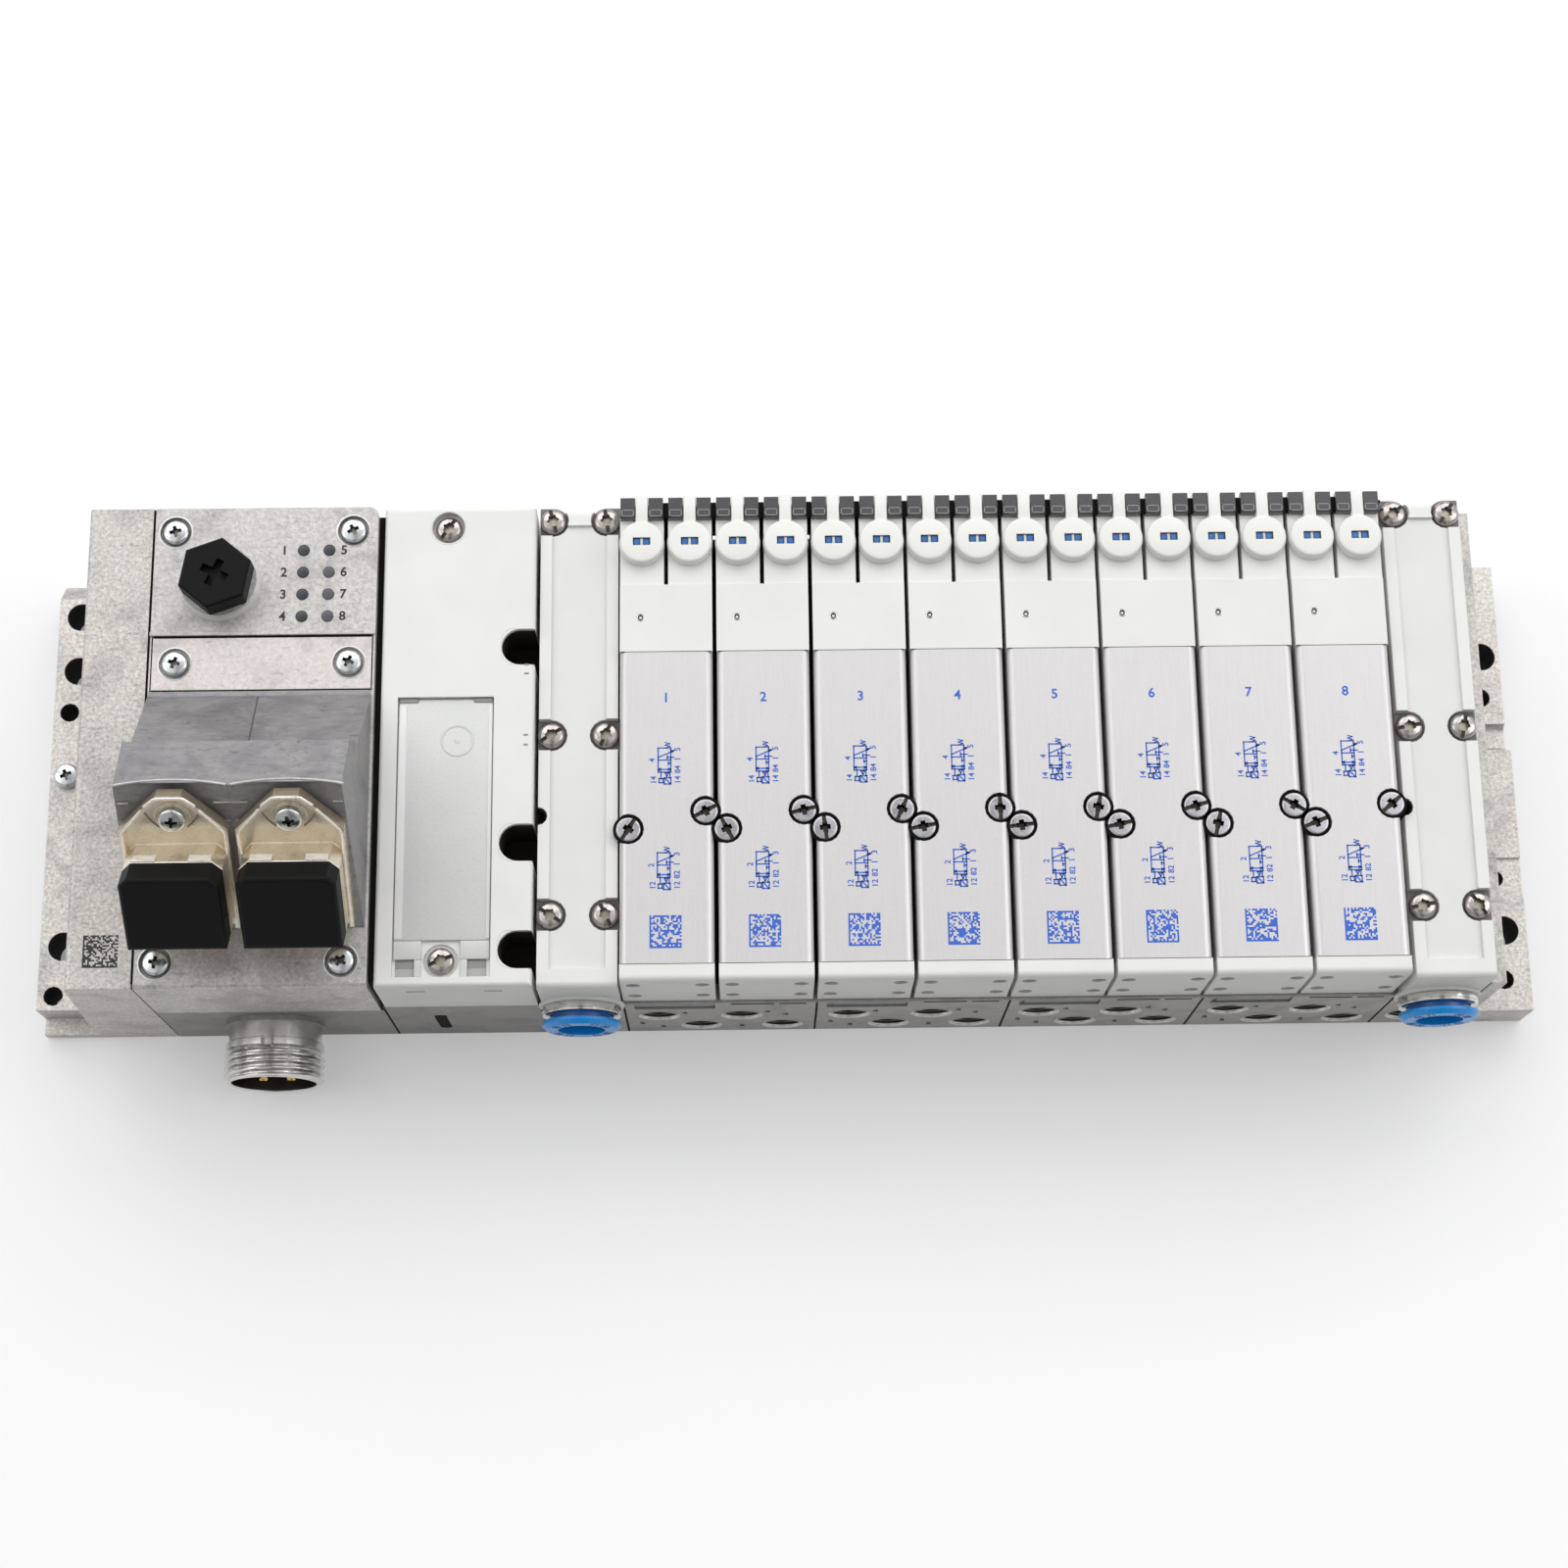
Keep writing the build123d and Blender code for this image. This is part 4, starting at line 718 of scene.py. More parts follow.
# Valves: caps, lights, vents and prints

def make_override_caps():
    """Stepped caps with a window, a bridge in it and a tongue to the back."""
    height, radius, step_height = 2.6, 4.95, 1.15
    cap = bmesh.new()
    lathe(cap, [(0, height), (4.2, height), (4.55, height - 0.08), (4.72, height - 0.25), (4.78, height - 0.5),
                (4.78, step_height + 0.12), (4.86, step_height), (radius, step_height - 0.1), (radius, 0), (0, 0)],
          steps=56)
    window = bmesh.new()
    block(window, (-1.9, -0.875, -1), (1.9, 0.875, height + 1))
    cap_template = carve(cap, window)
    caps = bmesh.new()
    for low, high, middle in island_boxes("override_caps"):
        x, y = middle.x, low.y + radius
        stamp(caps, cap_template, at(x, y, head_top))
        block(caps, (x - 0.3, y - 0.86, head_top + height - 0.68),
              (x + 0.3, y + 0.86, head_top + height - 0.4), rounding=0.06, material=2)
        block(caps, (x - 1.35, y + 4.2, head_top), (x + 1.35, high.y, head_top + 2.0), rounding=0.3)
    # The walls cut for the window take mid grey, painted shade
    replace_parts(piece("override_caps_shaped", caps, mat_cap_white, mat_slot_grey, mat_frost,
                      slot="white_plastic"), "override_caps")


def make_lens_frames():
    """A light line round each dark status block, dark webs between them, part black plastic and part painted shade,
    and painted shade in the gaps.
    """
    frames, webs, slots = blanks(3)
    boxes = island_boxes("lens_blocks")
    for low, high, middle in boxes:
        left, right = low.x + 0.35, high.x - 0.35
        front, back = low.y + 0.45, low.y + 1.85
        stroke(frames, ((left, front), (right, front), (right, back), (left, back), (left, front)), 0.16,
               Matrix.Translation((0, 0, high.z)))
    piece("lens_frames", frames, mat_lens_line, slot="dark_lens")

    # Dark webs between the blocks: partly black plastic, partly painted shade
    for (front, back, middle), after in zip(boxes[1::2], boxes[2::2]):
        block(webs, (back.x, front.y + 0.15, back.z - 1.5),
              (after[0].x - 0.03, back.y - 0.9, back.z - 0.7), rounding=0.1)
    piece("lens_webs", webs, mat_joint_shade, slot="dark_lens")

    # Dark blocks in the slots behind the pilot heads and on the floors of the gaps between valves, painted shade
    back, slot_half, slot_floor = box_mm("pilot_heads")[1].y, 0.44, 33.1
    gap_floor = base_high.z + 0.02
    for start in valve_starts:
        middle, gap = start + valve_width / 2, start + valve_width
        for left, right in ((middle - slot_half, middle + slot_half), (gap + 0.02, gap + 0.88)):
            block(slots, (left, back - 0.8, slot_floor), (right, back - 0.4, head_top - 0.4))
        block(slots, (gap + 0.02, valve_low.y, gap_floor), (gap + 0.88, back - 0.8, gap_floor + 0.25))
    piece("slot_backs", slots, mat_joint_shade, slot="gasket_rubber")


def make_vents():
    """A small metal ring with a ball in it on every pilot housing."""
    vent_x, vent_y = 4.5, valve_high.y + 7.85
    ring = bmesh.new()
    lathe(ring, [(0.55, -0.3), (0.62, 0.05), (0.75, 0.12), (0.9, 0.03), (0.9, -0.3)], closed=True, steps=28)
    lathe(ring, [(0, 0.0), (0.2, -0.03), (0.33, -0.14), (0.4, -0.35), (0, -0.5)], steps=20)
    template = to_template(ring)
    vents = bmesh.new()
    for start in valve_starts:
        stamp(vents, template, at(start + vent_x, vent_y, valve_top))
    piece("vent_rings", vents, mat_nickel, slot="nickel")


def draw_symbol(bm, origin, numbers):
    """The standard sign of a three-way valve with a solenoid and a spring.

    Local u runs to the back of the row and v to the left."""
    place = at(*origin, math.pi / 2)
    line, fine_line = 0.3, 0.24
    length, height = 5.4, 2.7

    def draw(*points, width=line):
        stroke(bm, points, width, place)

    draw((0, 0), (length, 0), (length, height), (0, height), (0, 0))
    draw((length / 2, 0), (length / 2, height))
    draw((3.3, height), (4.75, -0.65))
    draw((4.45, -0.2), (4.75, -0.65), (4.85, -0.1))
    draw((3.3, -0.65), (3.3, 0.75))
    draw((2.95, 0.75), (3.65, 0.75))
    draw((1.95, 0), (1.95, 0.5))
    draw((1.6, 0.5), (2.3, 0.5))
    draw((0.6, 0), (0.6, height))
    draw((0.35, 0.5), (0.6, 0.05), (0.85, 0.5))
    draw((0.35, 2.2), (0.6, 2.65), (0.85, 2.2))
    draw((length, 1.1), (5.75, 0.2), (6.05, 1.2), (6.35, 0.2), (6.65, 1.2), width=fine_line)
    draw((-1.28, 0), (-2.66, 0), (-2.66, 1.38), (-1.28, 1.38), (-1.28, 0))
    draw((-2.66, 0.1), (-1.28, 1.28))
    draw((0, 0.2), (-1.28, 0.2))
    draw((-0.2, 0.5), (-0.95, 0.85), (-0.2, 1.2), (-0.2, 0.5))
    draw((-1.44, 1.68), (-2.35, 1.68), (-2.35, 2.5), (-1.44, 2.5), (-1.44, 1.68))
    draw((0, 2.1), (-1.44, 2.1))
    size = 1.75
    spots = ((2.7, 3.97), (-1.74, 3.67), (5.1, -1.5), (2.9, -1.5), (0.6, -1.5), (-1.74, -1.5))
    for text, (u, v) in zip(numbers, spots):
        lettering(bm, text, size, place @ Matrix.Translation((u, v, 0)), bold=0.035)


def make_valve_prints():
    """Blue prints on the covers: two valve signs, a place number and a random code."""
    prints = bmesh.new()
    middle = (valve_low.y + valve_high.y) / 2
    for number, start in enumerate(valve_starts, 1):
        draw_symbol(prints, (start + 11.0, middle + 7.35, valve_top), ("4", "14", "5", "1", "84", "14"))
        draw_symbol(prints, (start + 10.8, middle - 15.9, valve_top), ("2", "12", "3", "1", "82", "12"))
        lettering(prints, str(number), 3.0, at(start + 10.0, middle + 24.0, valve_top), bold=0.06)
        low = (start + 6.4, valve_low.y + 3.35, valve_top)
        code_patch(prints, low, (low[0] + 6.8, low[1] + 7.1, valve_top), 18, number)
    piece("valve_prints", prints, mat_blue_ink, slot="blue_plastic")


def make_joint_lines():
    """The thin dark joints between the covers, their end caps and the pilot housings."""
    lines = bmesh.new()
    inset = 0.25
    for start in valve_starts:
        for y in (valve_low.y, valve_high.y):
            block(lines, (start + inset, y - 0.07, valve_top - 0.3),
                  (start + valve_width - inset, y + 0.07, valve_top + 0.02))
    piece("joint_lines", lines, mat_shadow, slot="gasket_rubber")


make_screws()
make_override_caps()
make_lens_frames()
make_vents()
make_valve_prints()
make_joint_lines()


# Bus node: hood, socket frames, lights, connector

def make_hood_details():
    """Rims along the two arcs of the hood, its seam, its foot and small raised marks; rims and marks are bright
    metal, a painted highlight.
    """
    hollow_radius, hollow_depth, half_width = 46.0, 1.5, 11.5
    back_along = Vector((0, 11.4, -6.6)).normalized()
    rims, seam, foot, marks = blanks(4)
    for centre in frame_centres:
        points = []
        for step in range(25):
            x = -half_width + 2 * half_width * step / 24
            cut = max(0.0, hollow_depth - hollow_radius + math.sqrt(hollow_radius ** 2 - x * x))
            points.append(hood_edge + Vector((centre + x, 0, 0)) + back_along * cut / 0.985)
        bead(rims, points, 0.3)
    piece("hood_rims", rims, mat_edge_highlight, slot="hood_casting")

    ramp_start, ramp_top = Vector((0, 10.45, 52.0)), Vector((0, -4.15, 65.5))
    seam_foot_x, seam_top_x = -113.3, -112.6
    points = []
    for step in range(9):
        share = step / 8
        seam_x = seam_foot_x + (seam_top_x - seam_foot_x) * share
        points.append(ramp_start.lerp(ramp_top, 0.04 + 0.92 * share) + Vector((seam_x, 0, 0.02)))
    bead(seam, points, 0.16)
    piece("hood_seam", seam, mat_hood_dark, slot="hood_casting")

    hood_low, hood_high = box_mm("connector_hood")
    strip_back = box_mm("cover_strip")[0].y
    block(foot, (hood_low.x + 0.05, hood_high.y - 0.15, node_top - 0.3),
          (hood_high.x - 0.1, strip_back - 0.34, node_top + 0.1))
    piece("hood_foot", foot, mat_hood, slot="hood_casting")

    mark_drop = 4.3
    between = (frame_centres[0] + frame_centres[1]) / 2
    for middle, width in ((frame_centres[0] - 10.0, 2.2), (between, 7.0), (frame_centres[1] + 10.0, 2.0)):
        block(marks, (-width / 2, -0.16, -0.3), (width / 2, 0.16, 0.22),
              face_place(middle, mark_drop), rounding=0.08)
    piece("hood_marks", marks, mat_edge_highlight, slot="hood_casting")


def make_frame_details():
    """Bright beads on the rims of the socket frames, a painted highlight, the dished seat of their screws, and dark
    creases beside it, a painted shade.
    """
    half, shoulder, apex_drop, apex_half = 10.6, 9.4, 1.4, 2.5
    foot, rim_top, plate_top = 34.0, 2.8, 1.3
    screw_drop, seat_radius = 7.0, 3.6
    jog_x, jog_drop = 5.6, 3.7
    collar_half, collar_drop, collar_corner, collar_reach = 10.2, 13.6, 1.9, 8.0
    tab_half, tab_spacing, tab_rise, tab_length = 2.33, 11.4, 0.35, 2.2
    rims, seats = blanks(2)
    for centre in frame_centres:
        place = face_place(centre, 0)
        for side in (-1, 1):
            lower = ((half, -foot), (half, -shoulder - 0.9), (half - 0.3, -shoulder - 0.1),
                     (jog_x + 0.25, -jog_drop - 0.55))
            upper = ((jog_x - 0.35, -jog_drop + 0.35), (apex_half + 0.5, -apex_drop - 0.15),
                     (apex_half * 0.8, -apex_drop), (0, -apex_drop))
            for chain in (lower, upper):
                bead(rims, [(side * x, y, rim_top) for x, y in chain], 0.3, place)
            crease = ((5.9, -5.3), (4.4, -7.9), (2.9, -9.4))
            # The creases beside each screw seat are dark bronze lines, painted shade
            bead(seats, [(side * x, y, plate_top + 0.05) for x, y in crease], 0.2, place, 1)
        arc = [polar(seat_radius, math.pi * step / 12) for step in range(13)]
        bead(seats, [(x, -screw_drop + y, plate_top + 0.1) for x, y in arc], 0.2, place)
        for proud in (plate_top + 0.08, collar_reach - 0.05):
            reach = collar_half - collar_corner
            lip = ((-collar_half, collar_corner), (-reach, 0), (reach, 0), (collar_half, collar_corner))
            bead(rims, [(x, -collar_drop - drop, proud) for x, drop in lip], 0.17, place)
        for side in (-1, 1):
            middle = side * tab_spacing / 2
            block(rims, (middle - tab_half, -collar_drop - 0.05, collar_reach - tab_length),
                  (middle + tab_half, -collar_drop + tab_rise + 0.06, collar_reach - 0.02), place, rounding=0.05)
    piece("frame_rims", rims, mat_bright_frame, slot="frame_metal")
    piece("frame_seats", seats, mat_frame, mat_frame_shade, slot="frame_metal")


def make_status_lights():
    """Eight round light windows, each with a thin bright metal ring, a painted highlight, and plain numerals beside
    them.
    """
    window = turned([(0, 0.14), (0.7, 0.12), (1.15, 0.08), (1.36, 0.02), (1.25, -0.02), (1.25, -1.4),
                     (0, -1.4)], 32, closed=False)
    rim = turned([(1.36, -0.1), (1.36, 0.05), (1.47, 0.07), (1.58, -0.1)], 32)
    windows, rims, labels = blanks(3)
    plug = centre_mm("hex_plug")
    # A pale ring round the side of the plug's boss, painted highlight
    boss = turned([(8.1, 2.6), (8.35, 2.65), (8.68, 2.3), (8.68, 0.1), (8.1, 0.1)], 64)
    stamp(rims, boss, at(plug.x, plug.y, node_top), 1)
    centres = [middle for low, high, middle in island_boxes("status_lenses")]
    columns = sorted({round(centre.x, 2) for centre in centres})
    rows = sorted({round(centre.y, 2) for centre in centres}, reverse=True)
    label_offsets = (-4.2, 3.2)
    size = 2.9
    for column, x in enumerate(columns):
        for row, y in enumerate(rows):
            shade_index = 1 if column and row else 0
            stamp(windows, window, at(x, y, node_top), shade_index)
            stamp(rims, rim, at(x, y, node_top))
            lettering(labels, str(row + 1 + column * len(rows)), size,
                      at(x + label_offsets[column], y, node_top), bold=0.07)
    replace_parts(piece("status_windows", windows, mat_light, mat_light_grey, slot="dark_lens"), "status_lenses")
    piece("status_rims", rims, mat_edge_highlight, mat_boss_highlight, slot="node_casting")
    piece("status_numbers", labels, mat_black_ink, slot="black_plastic")


def make_pocket_rims():
    """Rounded edges round the screw pockets of the node, the strip and the interface; on the node they are bright
    metal, a painted highlight.
    """
    rims = bmesh.new()
    left, right = box_mm("interface_cover")
    front_row = -45
    for low, high, middle in island_boxes("housing_screws"):
        on_node = middle.x < left.x
        if middle.x > right.x or not 20 < high.z < node_top + 5 or not (on_node or middle.y > front_row):
            continue
        radius, top = (3.5, node_top) if on_node else (3.7, right.z)
        rim = turned([(radius - 0.12, -0.6), (radius - 0.1, -0.05), (radius + 0.05, 0.06),
                      (radius + 0.3, 0.02), (radius + 0.35, -0.6)])
        stamp(rims, rim, at(middle.x, middle.y, top), 0 if on_node else 1)
    piece("pocket_rims", rims, mat_edge_highlight, mat_white, slot="node_casting")


def make_power_connector():
    """The threaded shell of the power connector with its collar and index notch."""
    low, high = box_mm("power_connector_shell")
    middle = (low + high) / 2
    root, reach = high.y, high.y - low.y
    place = front_place(middle.x, root, middle.z)
    neck, collar, crest, valley, inner = 10.25, 10.75, 11.0, 10.0, 9.3
    collar_low, collar_high, thread_low = 4.0, 5.4, 5.7
    pitch = 1.5875
    notch_half = math.radians(5)

    def thread(turn, height):
        ridge = 1 - abs(2 * ((height / pitch - turn / (2 * math.pi)) % 1) - 1)
        fade = min(1.0, (height - thread_low) / 0.6, (reach - 0.25 - height) / 0.5 + 0.15)
        lift = min(1.0, max(0.0, 1.5 * ridge - 0.25))
        return valley + (crest - valley) * max(0.0, fade) * lift

    def notched(turn, height):
        off_top = abs((turn - math.pi / 2 + math.pi) % (2 * math.pi) - math.pi)
        return neck - 0.3 if off_top < notch_half else collar

    rows = [(lambda turn, height: neck, height) for height in (0, 0.4, 2.0, collar_low - 0.35)]
    rows += [(lambda turn, height: neck - 0.25, height) for height in (collar_low - 0.3, collar_low - 0.05)]
    rows += [(notched, height) for height in (collar_low, collar_low + 0.05, collar_high - 0.05, collar_high)]
    count = 56
    rows += [(thread, thread_low + (reach - 0.1 - thread_low) * step / count) for step in range(count + 1)]
    rows += [(lambda turn, height: valley - 0.1, reach - 0.02), (lambda turn, height: valley - 0.25, reach),
             (lambda turn, height: inner + 0.2, reach), (lambda turn, height: inner, reach - 0.2),
             (lambda turn, height: inner, 0)]
    shell = bmesh.new()
    turned_tube(shell, rows, place)
    # The bore of the shell takes the dark recess tone, painted shade
    to_local = place.inverted()
    for face in shell.faces:
        if (to_local @ face.calc_center_median()).xy.length < inner + 0.05:
            face.material_index = 1
    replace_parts(piece("power_shell_threaded", shell, mat_shell, mat_recess, slot="nickel"), "power_connector_shell")

    pin = turned([(0, 0), (0.35, -0.02), (0.42, -0.5), (0.62, -0.5), (0.95, -0.15), (1.15, -0.55),
                  (1.15, -9.5), (0, -9.5)], 24, closed=False)
    pins = bmesh.new()
    for low, high, middle in island_boxes("power_pins"):
        stamp(pins, pin, front_place(middle.x, low.y, middle.z))
    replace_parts(piece("power_pins_turned", pins, mat_gold, slot="gold_contact"), "power_pins")


# Ports and fittings

def make_port_threads():
    """Threads inside the ports of the sub-bases and supply plates."""
    pitch, depth, length = 1.0, 0.55, 7.0

    def threaded(radius):
        def wall(turn, height):
            ridge = 1 - abs(2 * ((height / pitch + turn / (2 * math.pi)) % 1) - 1)
            return radius - depth * ridge * min(1.0, (0.1 - height) / 0.8)

        count = 42
        rows = [(wall, -length * step / count) for step in range(count + 1)]
        rows += [(lambda turn, height: radius + 0.02, -length), (lambda turn, height: radius + 0.35, -0.02),
                 (lambda turn, height: radius + 0.35, 0.05), (lambda turn, height: radius + 0.1, 0.05)]
        part = bmesh.new()
        turned_tube(part, rows, Matrix(), steps=40)
        return to_template(part)

    def chamfered(radius):
        return turned([(radius + 0.1, 0.08), (radius + 0.35, 0.06), (radius + 0.35, -0.4),
                       (radius - 0.34, -0.7), (radius - 0.38, -0.5), (radius - 0.05, 0.02)], 40)

    threads, rims = blanks(2)
    working = [(start + 7.4 + 9.1 * index, 6.7 if index % 2 else 17.1)
               for start in base_starts for index in range(4)]
    supply = [(centre_mm(f"supply_{side}_base").x - 1.0, 9.6) for side in sides]
    for radius, spots in ((4.28, working), (5.72, supply)):
        wall, rim = threaded(radius), chamfered(radius)
        for x, z in spots:
            stamp(threads, wall, front_place(x, base_low.y, z))
            stamp(rims, rim, front_place(x, base_low.y, z))
    # The threads are dark, partly painted shade
    piece("port_threads", threads, mat_port_shade, slot="base_casting")
    # The port chamfers are bright metal, painted highlight
    piece("port_rims", rims, mat_edge_highlight, slot="base_casting")


def make_base_details():
    """Label plates and bridges in the sub-base recesses, painted shade in their grooves and in the gap beside the
    node, cast numerals, dark slice joints.
    """
    plates, marks, bridges, joints, shades = blanks(5)
    front, base_height = base_low.y, base_high.z
    label_x, label_width, label_z, label_height, recess = 2.2, 17.6, 24.2, 5.4, 0.6
    bridge_x, groove_z, groove_height = 33.2, 28.4, 1.1
    groove_x, groove_end = 23.25, 39.75
    for start in base_starts:
        block(plates, (start + label_x + 1.1, front + 0.25, label_z + 0.2),
              (start + label_x + label_width - 0.2, front + recess, label_z + label_height - 0.2), rounding=0.1)
        block(bridges, (start + bridge_x - 0.5, front, groove_z),
              (start + bridge_x + 0.5, front + recess, groove_z + groove_height))
        for x, z, text in ((13.1, 20.0, "4"), (31.3, 20.4, "4"), (3.4, 9.2, "2"), (7.9, 5.4, "2"),
                           (25.6, 5.6, "2"), (35.3, 17.6, "4")):
            lettering(marks, text, 2.6, front_place(start + x, front, z), depth=0.12)
        # Near black in the lower half of each groove, painted shade
        for left, right in ((groove_x + 0.05, bridge_x - 0.55), (bridge_x + 0.55, groove_end - 0.05)):
            block(shades, (start + left, front + 0.02, groove_z + 0.02),
                  (start + right, front + recess - 0.02, groove_z + groove_height / 2))
    piece("groove_shade", shades, mat_joint_shade, slot="base_casting")
    piece("base_labels", plates, mat_slate, slot="black_plastic")
    piece("base_numerals", marks, mat_hood_dark, slot="base_casting")
    piece("groove_bridges", bridges, mat_base, slot="base_casting")

    node_low, node_high = box_mm("bus_node_housing")
    strip_low, strip_high = box_mm("cover_strip")
    line, depth = 0.2, 0.3
    for y in (strip_high.y, strip_low.y - line):
        block(joints, (strip_low.x + 0.1, y - line, node_top - depth),
              (strip_high.x - 0.1, y + line, node_top + 0.03))
    plate_end = box_mm("left_end_plate")[1].x
    block(joints, (plate_end - 0.08, node_low.y + 1.0, node_top - depth),
          (node_low.x + 0.08, node_high.y - 0.3, node_top + 0.02))
    # A dark slab fills the gap between the node and the interface, painted shade
    gap_end = box_mm("interface_cover")[0].x
    block(joints, (node_high.x + 0.02, node_low.y + 1.5, base_height + 2),
          (gap_end - 0.02, node_high.y - 1.5, node_top - 2.5))

    joint = 0.24
    slices = ("interface_base", "supply_left_base", "supply_right_base", "right_end_plate")
    for x in (*base_starts, *[box_mm(name)[0].x for name in slices]):
        for y in (front, base_high.y):
            block(joints, (x - joint, y - 0.03, 0.3), (x + joint, y + 0.03, base_height - 0.2))
    piece("slice_joints", joints, mat_joint_shade, slot="gasket_rubber")


def make_cap_dimples():
    """Dark bottoms of the four dimples in every front cap, painted shade."""
    dimples = bmesh.new()
    front = box_mm("valve_end_caps")[0].y
    depth, radius, inset = 0.8, 1.45, 2.7
    dimple = turned([(0, -depth + 0.12), (radius, -depth + 0.12), (radius, -depth + 0.01),
                     (0, -depth + 0.01)], 24, closed=False)
    for start in valve_starts:
        for x in (start + inset, start + valve_width - inset):
            for z in (36.0, 46.6):
                stamp(dimples, dimple, front_place(x, front, z))
    piece("cap_dimples", dimples, mat_shadow, slot="gasket_rubber")


def make_fittings():
    """Turned nickel sleeves and the moulded marks on the blue release rings."""
    sleeves, necks = blanks(2)
    rim_back, rim_radius, tube_radius, bore = -54.35, 8.6, 7.4, 6.9
    sleeve = turned([
        (tube_radius, -12), (tube_radius, 0), (rim_radius - 0.15, 0), (rim_radius, 0.15), (rim_radius, 1.15),
        (rim_radius - 0.3, 1.3), (rim_radius - 0.3, 1.45), (rim_radius - 0.05, 1.6), (rim_radius - 0.1, 1.85),
        (rim_radius - 0.5, 2.0), (bore + 0.2, 2.0), (bore, 1.8), (bore, -12)], 64)
    neck_radius, boss_radius, neck_reach, neck_step = 9.3, 8.41, 0.66, 0.7
    neck = turned([(boss_radius, -0.1), (neck_radius, -0.1), (neck_radius, 0.35),
                   (neck_radius - 0.25, neck_reach - 0.05), (boss_radius, neck_reach)], 64)
    for side in sides:
        middle, front = centre_mm(f"release_ring_{side}"), box_mm(f"release_ring_{side}")[0].y
        stamp(sleeves, sleeve, front_place(middle.x, rim_back, middle.z))
        stamp(necks, neck, front_place(middle.x, rim_back + neck_step, middle.z))
        marks = bmesh.new()
        face = front_place(middle.x, front, middle.z)
        lathe(marks, [(6.62, -1.7), (6.78, -1.7), (6.78, -2.75), (6.62, -2.75)], face, closed=True)
        for turn in (35, 62, 118, 145, 215, 242, 298, 325):
            place = face @ Matrix.Rotation(math.radians(turn), 4, "Z")
            for offset in (-0.55, 0.55):
                block(marks, (5.5, offset - 0.14, -0.1), (7.2, offset + 0.14, 0.12), place, rounding=0.05)
        piece(f"release_marks_{side}", marks, mat_blue_deep, body=f"release_{side}", slot="blue_plastic")
    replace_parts(piece("fitting_sleeves_turned", sleeves, mat_nickel, slot="nickel"), "fitting_sleeves")
    piece("fitting_necks", necks, mat_white, slot="white_plastic")


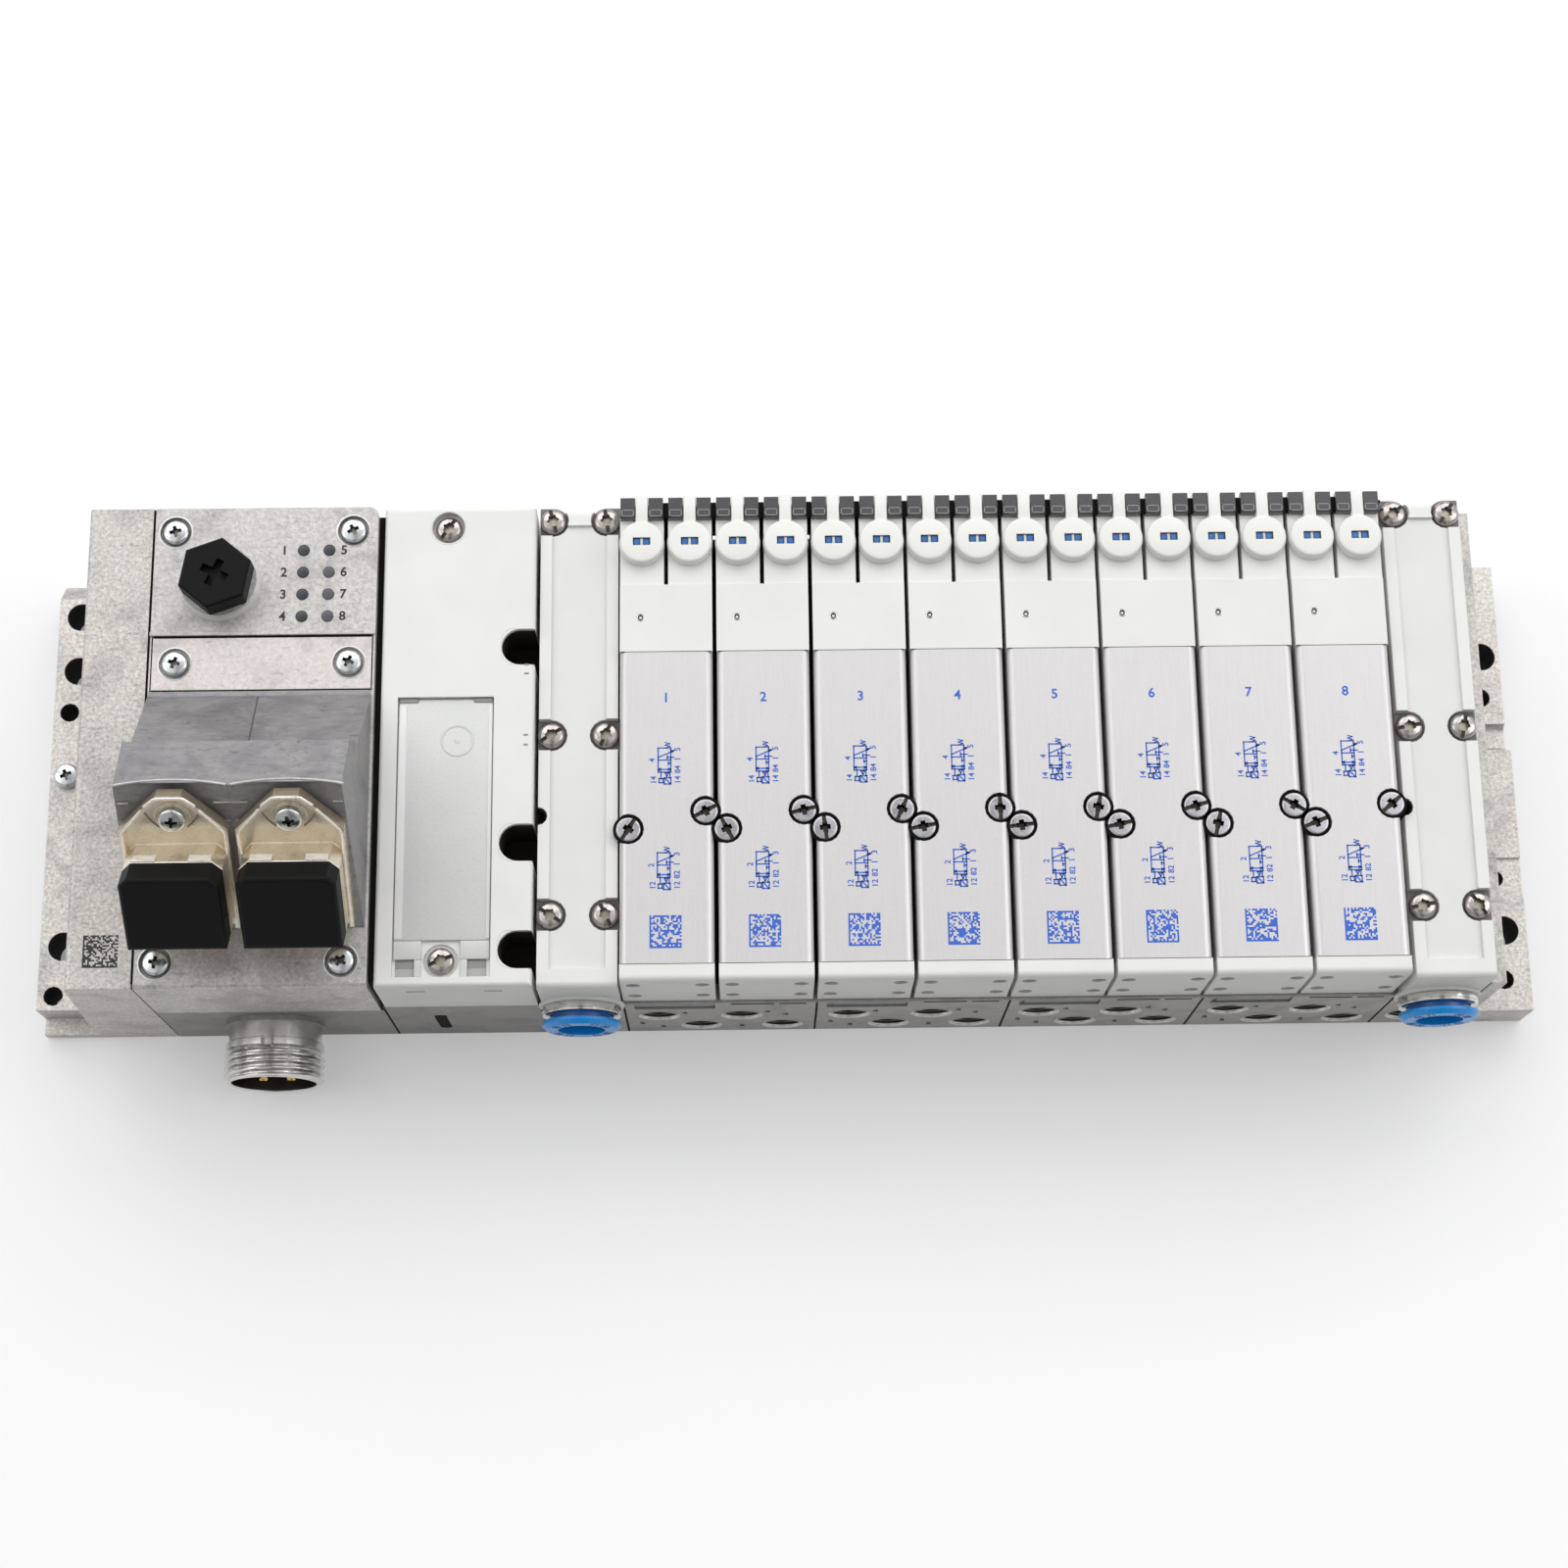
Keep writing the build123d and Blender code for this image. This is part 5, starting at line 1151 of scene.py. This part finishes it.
def make_interface_details():
    """Frosted window with its moulding ring, rails and tabs, and the bar below it."""
    low, high = box_mm("label_window")
    cover_low, cover_high = box_mm("interface_cover")
    plate_top = high.z
    window, rails, slots, liners, corners, openings, marks = blanks(7)
    block(window, low, (high.x, high.y, plate_top - 0.1), rounding=0.2)
    ring_place = at(-70.5, 0.4, plate_top - 0.1)
    lathe(window, [(3.0, -0.3), (3.1, 0.06), (3.5, 0.1), (3.7, -0.3)], ring_place, closed=True)
    lathe(window, [(0, 0.12), (0.45, 0.08), (0.7, -0.02), (0.7, -0.3), (0, -0.3)], ring_place, steps=24)
    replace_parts(piece("window_plate", window, mat_frost, slot="frosted_plastic"), "label_window")

    for left, right, proud, rounding in ((low.x, low.x + 1.7, 0.1, 0.25), (high.x - 0.9, high.x, 0.05, 0.2)):
        block(rails, (left, low.y + 0.3, plate_top - 0.3), (right, high.y - 1.3, plate_top + proud),
              rounding=rounding)
    bar_back, bar_front, floor = low.y - 0.05, low.y - 7.8, low.z
    middle = -73.2
    for left, right in ((low.x, middle - 4.1), (middle + 4.1, high.x)):
        block(rails, (left, bar_back - 4.0, floor - 0.1), (right, bar_back, plate_top - 0.2),
              rounding=0.08, material=1)
    for x in (middle - 4.9, middle + 4.9):
        block(rails, (x - 0.7, bar_front, floor - 0.1), (x + 0.7, bar_back - 3.9, plate_top - 0.3),
              rounding=0.15, material=1)
    piece("window_rails", rails, mat_white, mat_frost, slot="white_plastic")

    for x in (low.x + 0.1, high.x - 4.1):
        block(slots, (x, high.y - 0.8, plate_top - 0.2), (x + 4.0, high.y + 0.15, plate_top + 0.15), rounding=0.1)
    for x in (middle - 7.6, middle + 7.6):
        block(slots, (x - 2.0, low.y - 5.9, floor - 0.2), (x + 2.0, low.y - 4.1, floor + 0.04), rounding=0.02)
        block(slots, (x - 2.0, bar_front + 0.1, floor - 0.2), (x + 2.0, low.y - 5.9, floor + 0.04), material=1)
    piece("window_slots", slots, mat_slot_grey, mat_slot_light, slot="frosted_plastic")

    # Dark linings inside the notches of the interface and supply covers, painted shade; white fills keep the notches'
    # rims
    notch_reach, notch_half, notch_floor, notch_corner = 7.2, 4.1, 37.0, 2.6
    liner_top = cover_high.z - 1.2

    def notch_outline(inset, corner=notch_corner):
        left, right = cover_high.x - notch_reach + inset, cover_high.x - 0.02
        half = notch_half - inset
        corner -= inset
        points = [(right, -half), (right, half)]
        for start, middle in ((math.pi / 2, half - corner), (math.pi, corner - half)):
            for step in range(7):
                x, y = polar(corner, start + math.pi / 2 * step / 6)
                points.append((left + corner + x, middle + y))
        return points

    shell, hollow = blanks(2)
    prism(shell, notch_outline(0.06), notch_floor + 0.05, liner_top)
    prism(hollow, notch_outline(0.3), notch_floor + 0.4, liner_top + 2)
    shade_lining = carve(shell, hollow)
    shell, hollow = blanks(2)
    prism(shell, notch_outline(0.0), liner_top, cover_high.z - 0.01)
    prism(hollow, [(x + 0.5 * (x > cover_high.x - 1), y) for x, y in notch_outline(0.02, notch_half - 0.02)],
          liner_top - 1, cover_high.z + 1)
    corner_fill = carve(shell, hollow)
    for y in (21.3, -22.6, -45.9):
        stamp(liners, shade_lining, at(0, y, 0))
        stamp(corners, corner_fill, at(0, y, 0))
    piece("notch_corners", corners, mat_white, mat_white, slot="white_plastic")
    supply_radius, supply_notch_y = 2.0, -16.2
    for side in sides:
        supply_low, supply_high = box_mm(f"supply_{side}_cover")
        shell, hollow = blanks(2)
        for bm, inset, floor, top in ((shell, 0.12, -5.9, -0.6), (hollow, 0.35, -5.5, 1)):
            outline = [polar(supply_radius - inset, math.pi * (step / 12 - 0.5)) for step in range(13)]
            prism(bm, outline, supply_high.z + floor, supply_high.z + top)
        stamp(liners, carve(shell, hollow), at(supply_low.x + 0.02, supply_notch_y, 0))
    piece("notch_liners", liners, mat_notch_shade, mat_notch_shade, slot="gasket_rubber")

    # Dark plates where the slots are, a painted shade that reads as their openings
    corner = box_mm("interface_base")[0]
    prism(openings, round_slot(7.0, 1.3), -0.2, 0.06,
          front_place(corner.x + 11.3, corner.y, 13.6) @ Matrix.Rotation(math.radians(1), 4, "Z"))
    middle = (cover_low.x + cover_high.x) / 2
    for x in (middle - 8.15, middle + 8.15):
        block(openings, (x - 1.95, cover_low.y + 0.15, 45.25), (x + 1.95, cover_low.y + 0.9, 46.15))
    piece("interface_openings", openings, mat_joint_shade, slot="gasket_rubber")

    for y in (17.2, 15.2, 1.3, -0.9):
        block(marks, (cover_high.x - 2.2, y - 0.22, cover_high.z - 0.1),
              (cover_high.x - 1.2, y + 0.22, cover_high.z + 0.06), rounding=0.1)
    piece("interface_marks", marks, mat_slot_grey, slot="white_plastic")


def make_plate_code():
    """A random black code patch on the left end plate."""
    patch = bmesh.new()
    code_patch(patch, (-148.0, -49.1, node_top), (-140.6, -42.1, node_top), 20, 99)
    piece("plate_code", patch, mat_black_ink, slot="black_plastic")


make_hood_details()
make_frame_details()
make_status_lights()
make_pocket_rims()
make_power_connector()
make_port_threads()
make_base_details()
make_cap_dimples()
make_fittings()
make_interface_details()
make_plate_code()


# Floor, light and camera

def soft_stage():
    """A pale floor that keeps the object's shadow."""
    reach = 4.0
    bm = bmesh.new()
    bmesh.ops.create_grid(bm, x_segments=1, y_segments=1, size=reach)
    mesh = bpy.data.meshes.new("floor")
    bm.to_mesh(mesh)
    bm.free()
    floor = bpy.data.objects.new("floor", mesh)
    floor.location.z = cad_bounds[0].z - 0.0002
    bpy.context.scene.collection.objects.link(floor)
    paint = Paint("floor_paper", (0.72, 0.72, 0.724), 0.9, Specular_IOR_Level=0.1, Emission_Color=(1, 1, 1))
    camera_ray, glossy_ray = (paint.add("LightPath", output=f"Is {kind} Ray") for kind in ("Camera", "Glossy"))
    seen = paint.add("Math", {0: camera_ray, 1: glossy_ray}, operation="MAXIMUM")
    paint.wear(Emission_Strength=paint.span(seen, 0.0, 0.25))
    mesh.materials.append(paint.material)


def area_lamp(name, place, aim, size, power):
    data = bpy.data.lights.new(name, "AREA")
    data.shape = "RECTANGLE"
    data.size, data.size_y = size
    data.energy = power
    lamp = bpy.data.objects.new(name, data)
    lamp.location = place
    lamp.rotation_mode = "QUATERNION"
    lamp.rotation_quaternion = (Vector(aim) - Vector(place)).to_track_quat("-Z", "Y")
    bpy.context.scene.collection.objects.link(lamp)


def sky():
    """A white tent, bright above and behind, dim on the camera's side, with a gap overhead."""
    world = bpy.data.worlds.new("room")
    bpy.context.scene.world = world
    world.use_nodes = True
    wiring = Wiring(world.node_tree)

    def band(direction, *stops, mirrored=False):
        """Grey levels by how far a ray leans towards a direction."""
        ray = wiring.add("TexCoord", output="Generated")
        lean = wiring.add("VectorMath", {0: ray, 1: direction}, "Value", operation="DOT_PRODUCT")
        if mirrored:
            lean = wiring.add("Math", {0: lean}, operation="ABSOLUTE")
        return wiring.ramp(lean, *[(where, (level, level, level)) for where, level in stops])

    behind = (0.0, 0.62, 0.78)
    lit = band(behind, (0.0, 0.14), (0.35, 0.46), (0.75, 1.0))
    mirrored_card = band(behind, (0.0, 0.5), (0.35, 0.5), (0.75, 1.0))
    from_behind = wiring.mix(wiring.add("LightPath", output="Is Glossy Ray"), lit, mirrored_card)
    gap = band((1.0, 0.0, 0.0), (0.08, 0.35), (0.17, 1.0), mirrored=True)
    background = world.node_tree.nodes["Background"]
    wiring.feed(background, {"Color": wiring.mix(1.0, from_behind, gap, "MULTIPLY"), "Strength": 1.1})


def photo_camera():
    """The camera at the photograph's place, angle and focal length."""
    photo_width = 1600
    focal_pixels = 2892.6
    data = bpy.data.cameras.new("photo_camera")
    data.sensor_width = 36.0
    data.lens = focal_pixels / photo_width * data.sensor_width
    data.clip_start = 0.01
    data.clip_end = 20.0
    camera = bpy.data.objects.new("photo_camera", data)
    camera.location = (-0.00778, -0.17793, 0.63430)
    camera.rotation_euler = (math.radians(16.038), math.radians(-0.503), math.radians(-0.779))
    bpy.context.scene.collection.objects.link(camera)
    bpy.context.scene.camera = camera


soft_stage()
sky()
area_lamp("ceiling", (0.0, 1.1, 1.3), (0, 0, 0), (2.2, 0.9), 9.5)
area_lamp("side_left", (-1.0, 0.1, 0.8), (0, 0, 0), (0.6, 0.9), 2.3)
area_lamp("side_right", (1.0, 0.1, 0.8), (0, 0, 0), (0.6, 0.9), 2.8)
photo_camera()
bpy.context.scene.view_settings.view_transform = "Standard"
